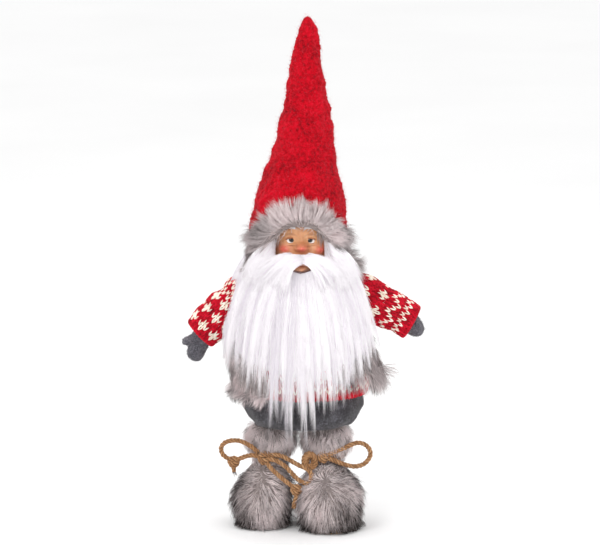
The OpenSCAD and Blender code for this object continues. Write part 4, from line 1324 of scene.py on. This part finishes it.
def beard():
    """Locks of long hair in four pieces: two cover the upper beard, and two run out into the wisps."""
    draw = np.random.default_rng(131)
    locks = 210
    lock_u = np.clip(np.linspace(-1.02, 1.02, locks) + draw.normal(0, 0.012, locks), -1, 1)
    lock_tip = np.clip(lock_u + draw.normal(0, 0.045, locks), -1.03, 1.03)
    short = draw.random(locks) < 0.62
    lock_reach = np.where(short, draw.uniform(0.62, 0.82, locks), draw.uniform(0.84, 1.07, locks))
    lock_reach = (1 + 0.09 * np.exp(-((lock_u / 0.3) ** 2))) * lock_reach
    lock_deep = draw.uniform(-0.5, 7.0, locks)
    lock_wave = draw.normal(0, 3.0, locks)
    lock_phase = draw.uniform(0, 6.28, locks)
    lock_beat = draw.uniform(4.5, 9.0, locks)
    lead = beard_paths(lock_u, lock_tip, np.zeros(locks), lock_reach, lock_deep, lock_wave)
    s = np.linspace(0, 1, 9)
    for part, (count, covers) in enumerate(((5600, True), (4400, True), (4400, False), (4200, False))):
        mine = draw.integers(0, locks, count)
        off = draw.normal(0, 0.02, count)
        u_root = np.clip(lock_u[mine] + off * 1.6, -1, 1)
        u_tip = lock_tip[mine] + off * 0.7
        begin = draw.uniform(0.0, 0.5, count) if covers else np.zeros(count)
        reach = (begin + draw.uniform(0.28, 0.5, count) if covers
                 else lock_reach[mine] * draw.uniform(0.72, 1.0, count))
        own_deep = lock_deep[mine] * (0.45 if covers else 1.0)
        deep = np.clip(own_deep + draw.normal(0, 1.3, count), -1.5, 10)
        paths = beard_paths(u_root, u_tip, begin, reach, deep, lock_wave[mine])
        if covers:
            own = beard_paths(lock_u[mine], lock_tip[mine], begin, reach, own_deep, lock_wave[mine])
            paths = lerp(paths, own, 0.7 * s[:, None] ** 1.5)
            paths[..., 1] += 3.0 * (1 - s) ** 3 * (begin > 0.04)[:, None]
        else:
            paths = lerp(paths, lead[mine], 0.78 * s[:, None] ** 1.7)
        sway = 1.5 * np.sin(s * lock_beat[mine][:, None] + lock_phase[mine][:, None]) * s
        paths[..., 0] += sway + draw.normal(0, 1.0, count)[:, None] * s**2
        paths[..., 1] += draw.normal(0, 0.9, count)[:, None] * s
        # painted shade: locks of low tone take the lilac-grey that stands for the shade between locks
        tone = np.clip(0.5 + 0.4 * np.sin(lock_phase[mine] * 3) + draw.normal(0, 0.2, count), 0, 1)
        white_hair(f"beard_hair_{part + 1}", paths, draw.uniform(0.11, 0.17, count), tone)


def beard_under_hair():
    """The matted hair that fills the beard's upper part."""
    rings = []
    for height in np.linspace(150, 266, 50):
        half = np.interp(height, [150, 165, 180, 205, 230, 245, 258, 266], [44, 58, 64, 66, 58, 46, 34, 24])
        x = np.linspace(-half, half, 50)
        deep = 6.5 + 9 * (x / half) ** 4 + 16 * (1 - step(150, 178, height)) + 9 * step(232, 256, height)
        deep = deep + 7 * step(225, 240, height) * np.exp(-((x / 13) ** 2))
        level_z = np.full(50, height)
        outer = np.stack([x, beard_surface(x, level_z, deep), level_z], 1)
        back = np.stack([x[::-1], np.minimum(outer[::-1, 1] + 10, -12), level_z], 1)
        rings.append(np.vstack([outer, back]))
    rings = np.array(rings)
    flat = rings.reshape(-1, 3)
    streaks = 0.8 * noise(flat * [1, 1, 0.15], 3.5, 14) + 1.0 * noise(flat, 20, 15)
    flat[:, 1] -= streaks * (flat[:, 1] < -30)
    points, faces = rings_solid(flat.reshape(rings.shape))
    place(make("beard_under_hair", points, faces, [mat_beard_base]), "torso", "white_hair", "beard")


beard()
beard_under_hair()


def moustache():
    """Two wings that leave the middle under the nose and sweep over the cheeks and round the mouth."""
    draw = np.random.default_rng(141)
    locks, count = 90, 4600
    side = np.where(np.arange(locks) % 2, 1.0, -1.0)
    v = draw.random(locks)  # 0 for the lowest locks, which turn down beside the mouth, and 1 for the highest
    spread = draw.random(locks)
    start = np.stack([side * (-1.2 + (4.5 + 9.0 * v) * spread),
                      -47.5 - 2.0 * draw.random(locks) + 3.0 * spread * v,
                      lerp(266.5, 272.5, v) + 1.8 * spread * v], 1)
    end = np.stack([side * lerp(15.0, 46.0, v**0.8), lerp(-58.0, -45.0, v), lerp(232.0, 252.0, v)], 1)
    bend = np.stack([side * lerp(14.0, 25.0, v), lerp(-56.0, -49.0, v), lerp(265.5, 275.0, v)], 1)
    end += draw.normal(0, 3.2, (locks, 3)) * [1, 0.8, 1]
    bend += draw.normal(0, 1.6, (locks, 3)) * [1, 0.8, 1]
    mine = draw.integers(0, locks, count)
    start = start[mine] + draw.normal(0, 0.9, (count, 3))
    bend = bend[mine] + draw.normal(0, 1.3, (count, 3))
    end = end[mine] + draw.normal(0, 1.0, (count, 3))
    t = np.linspace(0, 1, 8) * draw.uniform(0.5, 1.0, count)[:, None]
    paths = curve(start, bend, end, t[..., None])
    paths[..., 1] -= 1.6 * np.sin(np.pi * t)
    paths[..., 0] += 0.8 * np.sin(6 * t + 6.28 * spread[mine][:, None]) * t
    # as in the beard, low tone gives the lilac-grey painted shade between locks
    tone = np.clip(0.55 + 0.4 * np.sin(17 * spread[mine]) + draw.normal(0, 0.2, count), 0, 1)
    white_hair("moustache_hair", paths, draw.uniform(0.11, 0.17, count), tone)
    chain = []
    for s in (-1, 1):
        chain += between((s * 3.0, -42.5, 270.0, 2.2), (s * 12, -42.5, 269.5, 2.8), 8)
        chain += between((s * 12, -42.5, 269.5, 2.8), (s * 23, -38.0, 261, 2.6), 8)
        chain += between((s * 11.5, -43.0, 267, 2.4), (s * 14.5, -44.0, 254, 2.6), 8)
    points, faces = skin_of_spheres("moustache", chain, 0.9)
    place(make("moustache", points, faces, [mat_beard_base]), "torso", "white_hair", "moustache")


moustache()


def sideburns():
    """White hair beside the face, from under the fur band down into the beard."""
    draw = np.random.default_rng(151)
    count = 2600
    side = draw.choice([-1.0, 1.0], count)
    v = draw.random(count)
    start = np.stack([side * (23.5 + 3.0 * draw.random(count)) - 1.5,
                      -36.0 + 5 * draw.random(count) - 3.0 * (1 - v), lerp(266.0, 287.0, v)], 1)
    end = np.stack([side * lerp(36.0, 62.0, v), lerp(-54.0, -38.0, v), lerp(234.0, 242.0, v)], 1)
    bend = np.stack([side * lerp(34.0, 50.0, v), lerp(-49.0, -42.0, v), lerp(262.0, 278.0, v)], 1)
    end += draw.normal(0, 2.4, (count, 3))
    bend += draw.normal(0, 1.2, (count, 3))
    t = np.linspace(0, 1, 7) * draw.uniform(0.5, 1.0, count)[:, None]
    paths = curve(start, bend, end, t[..., None])
    tone = np.clip(0.55 + 0.4 * np.sin(40 * v) + draw.normal(0, 0.2, count), 0, 1)
    white_hair("sideburn_hair", paths, draw.uniform(0.13, 0.19, count), tone, 0.3)


sideburns()

# ---- hat ----

BRIM = np.array([-2.0, -6.0, 297.0])
BRIM_TILT = math.radians(26)
BEND = np.array([4.0, -6.0, 402.0])
# the hat's middle and radius at each height, from under the brim to the tip
HAT_FORM = np.array([
    [255, -3.2, 48.5], [276, -3.1, 48], [298, -2.9, 46.6], [310, -1.9, 44.8], [322, -1.5, 42.9],
    [333, -1.0, 39.3], [345, -0.5, 35.9], [357, 0.5, 33.0], [369, 2.4, 31.0], [381, 3.9, 27.6],
    [398, 3.4, 25.2], [410, 4.9, 22.8], [422, 4.4, 19.4], [434, 4.9, 17.9], [452, 4.4, 15.5],
    [469, 4.4, 12.6], [487, 6.3, 8.7], [495, 5.9, 5.2], [498, 5.8, 3.2], [499.3, 5.8, 0.6]])
HAT_Z, HAT_X, HAT_R = HAT_FORM.T
HAT_TOP = HAT_Z[-1]
# height, depth, width and direction of each crease
KINKS = ((411, 1.5, 5.0, 2.6), (405, 1.2, 4.0, -0.4), (363, 1.3, 6.0, 2.9), (372, 1.3, 6.0, 0.3),
         (438, 0.8, 4.0, -1.2))


def hat_point(z, angle):
    r = eased(z, HAT_Z, HAT_R, 3.0)
    r = np.where(z > 496, np.interp(z, HAT_Z, HAT_R), r)
    return np.stack([eased(z, HAT_Z, HAT_X, 4.0) + r * np.cos(angle), BEND[1] + r * np.sin(angle), z], -1)


def over_the_bend(piece):
    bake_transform(piece)


def hat():
    """One felt cone from the tilted brim to the tip, with nubs, dents and creases, and its fuzz."""
    rows, columns = 330, 230
    angle = np.linspace(0, 2 * np.pi, columns, endpoint=False)
    slope = math.tan(BRIM_TILT)
    low = BRIM[2] + 0.5 - slope * (BEND[1] + 46.5 * np.sin(angle) - BRIM[1])
    low = low - np.abs(np.cos(angle)) ** 3 * np.where(np.cos(angle) > 0, 11.0, 6.5)
    share = np.linspace(0, 1, rows)
    z = lerp(low[None, :], HAT_TOP, share[:, None] ** 0.96)
    rings = hat_point(z, np.broadcast_to(angle, z.shape))
    flat = rings.reshape(-1, 3)
    axis = np.stack([eased(flat[:, 2], HAT_Z, HAT_X, 4.0), np.full(len(flat), BEND[1]), flat[:, 2]], 1)
    out = unit(flat - axis)
    fade = 1 - 0.75 * step(470, 498, flat[:, 2])
    nubs = 0.5 * noise(flat, 3.4, 161, 40) + 0.3 * noise(flat, 2.0, 162, 40)
    dents = 1.1 * noise(flat, 26, 163) + 0.7 * noise(flat, 11, 164)
    theta = np.arctan2(out[:, 1], out[:, 0])
    kinks = 0
    for at, deep, width, turn in KINKS:
        centre = at + 5 * np.sin(theta + turn)
        share_round = 0.5 + 0.5 * np.cos(theta - turn)
        kinks = kinks - deep * np.exp(-(((flat[:, 2] - centre) / width) ** 2)) * share_round
    flat = flat + out * ((nubs + dents + kinks) * fade)[:, None]
    flat = clear_of(flat, 0.7, "hat_stuffing_lower", "hat_stuffing_upper")
    points, faces = rings_solid(flat.reshape(rings.shape))
    piece = make("hat", points, faces, [mat_hat])
    over_the_bend(piece)
    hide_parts("hat_lower", "hat_upper")
    over_the_bend(fuzz("hat_fuzz", points, faces, 9000, 165, (1.5, 6.5), 0.06, mat_hat_fibre,
                       lambda p, n: 1.0 * (n[:, 2] > -0.5), dark=0.3, rings=5, settle=-0.15, droop=0.05,
                       stray=0.6))


hat()

# the fur band: a ring under the felt's edge, and its pile brought forward in an arch round the face
t = np.linspace(0, 2 * np.pi, 120, endpoint=False)
across = np.stack([np.cos(t), np.sin(t) * math.cos(BRIM_TILT), -np.sin(t) * math.sin(BRIM_TILT)], 1)
upward = np.array([0.0, math.sin(BRIM_TILT), math.cos(BRIM_TILT)])
middle = BRIM + 37.5 * across - 8.0 * upward
section = np.linspace(0, 2 * np.pi, 24, endpoint=False)[:, None]
rings = middle[:, None] + 6.0 * (np.cos(section) * across[:, None] + np.sin(section) * upward)
rings[..., 2] = np.maximum(rings[..., 2], 256)
fur_piece(
    "hat_band", rings.reshape(-1, 3), [grid(121, 24) % (120 * 24)], 5200, 171,
    lambda p, n: np.where((n * level(p, BRIM)).sum(1) > -0.2, 1.0, 0.1) * (p[:, 1] > -34),
    lambda p, n: DOWN * 1.2 + level(p, BRIM) * 0.45,
    lambda p: np.full(len(p), 27.0), ["hat_band"], lambda p, patch: 0.6 + 0.4 * patch,
    {"lift": 0.5, "settle": 0.1, "droop": 0.1})

ARCH = [[-36, -20, 258], [-36.5, -25, 268], [-34.5, -30, 281], [-27.5, -37, 294], [-14, -44, 304],
        [-1.5, -46.5, 307], [11, -44, 304], [23.5, -37, 294], [30, -30, 281], [32, -25, 268], [31, -20, 258]]
FACE_MIDDLE = np.array([-1.5, -45.0, 277.0])
arch_line = smooth_line(np.array(ARCH, float), 90)
arch_points, arch_faces = tube(arch_line, np.full(90, 5.2), 18)


def beside(p):
    """0 over the face and 1 at its sides."""
    return step(14, 30, np.abs(p[:, 0] - FACE_MIDDLE[0]))


def arch_away(p):
    return unit((p - FACE_MIDDLE) * [1.0, 0.0, 1.0])


def arch_flow(p, n):
    """Away from the face: up over the felt at the front, out and down at the sides."""
    side = beside(p)[:, None]
    upright = lerp(-0.3, 0.0, side) + 0.65 * side
    return arch_away(p) * lerp(1.0, 0.9, side) + [0, 0.3, 0] + upright * DOWN


fur_piece(
    "hat_band_front", arch_points, arch_faces, 9000, 173,
    lambda p, n: np.where(((n * arch_away(p)).sum(1) > -0.35) & (n[:, 1] < 0.5), 1.0, 0.03),
    arch_flow, lambda p: lerp(24.0, 26.0, beside(p)) - 6.0 * step(16, 28, p[:, 0]), [],
    lambda p, patch: np.clip(0.25 + 0.5 * patch + 0.5 * beside(p), 0, 1),
    {"lift": 0.5, "settle": 0.08, "droop": 0.0, "stray": 0.11})

# ---- carried-over CAD nodes: inner parts ----

SIDES = ("left", "right")
CAD_LOOKS = {
    mat_birch: ["hip_board", "spine_dowel"]
               + [f"{part}_{side}" for part in ("leg_dowel", "sole") for side in SIDES],
    mat_steel: ["hip_screws", "shoulder_wire", "hat_wire_lower", "hat_wire_upper"]
               + [f"{part}_wire_{side}" for part in ("arm", "hand") for side in SIDES],
    mat_iron: [f"boot_weight_{side}" for side in SIDES],
    mat_filling: ["body_stuffing", "hat_stuffing_lower", "hat_stuffing_upper"]
                 + [f"{part}_stuffing_{side}" for part in ("boot", "arm", "hand") for side in SIDES],
    mat_pellets: ["pellet_bag"],
    mat_jute: ["neck_tie"],
}
for look, names in CAD_LOOKS.items():
    for name in names:
        node_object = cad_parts[name]
        if not node_object.data.materials:
            node_object.data.materials.append(look)
        for material_slot in node_object.material_slots:
            material_slot.material = look

# ---- floor, world and lights ----

FLOOR_HALF = 12  # metres, wide enough to have no edge in any view
floor_mesh = bpy.data.meshes.new("floor")
corners = [(x * FLOOR_HALF, y * FLOOR_HALF, 0) for x, y in ((-1, -1), (1, -1), (1, 1), (-1, 1))]
floor_mesh.from_pydata(corners, [], [(0, 1, 2, 3)])
floor = bpy.data.objects.new("floor", floor_mesh)
bpy.context.scene.collection.objects.link(floor)
floor.location.z = -0.0003
mat_floor, tree, shader, where = base_material("studio_floor", 0.9, specular=0.1)
floor_tone = ramp(tree, pattern(tree, where, 3), [(0.3, "f9f9f9"), (0.7, "fcfcfc")])
tree.links.new(floor_tone, shader.inputs["Base Color"])
floor_mesh.materials.append(mat_floor)

world = bpy.data.worlds.new("studio")
bpy.context.scene.world = world
world.use_nodes = True
background = world.node_tree.nodes["Background"]
background.inputs["Color"].default_value = (1, 1, 1, 1)
background.inputs["Strength"].default_value = 1.0


def lamp(name, position, size, power):
    data = bpy.data.lights.new(name, "AREA")
    data.size = size
    data.energy = power
    light = bpy.data.objects.new(name, data)
    bpy.context.scene.collection.objects.link(light)
    light.location = position
    light.rotation_euler = (Vector((0, 0, 0.25)) - light.location).to_track_quat("-Z", "Y").to_euler()


lamp("key", Vector((-0.8, -1.4, 1.2)), 0.7, 11)
lamp("fill", Vector((1.2, -1.3, 0.6)), 1.0, 5)
lamp("top", Vector((0.1, 0.5, 1.5)), 0.9, 4)

scene = bpy.context.scene
scene.view_settings.view_transform = "Standard"
scene.view_settings.look = "None"
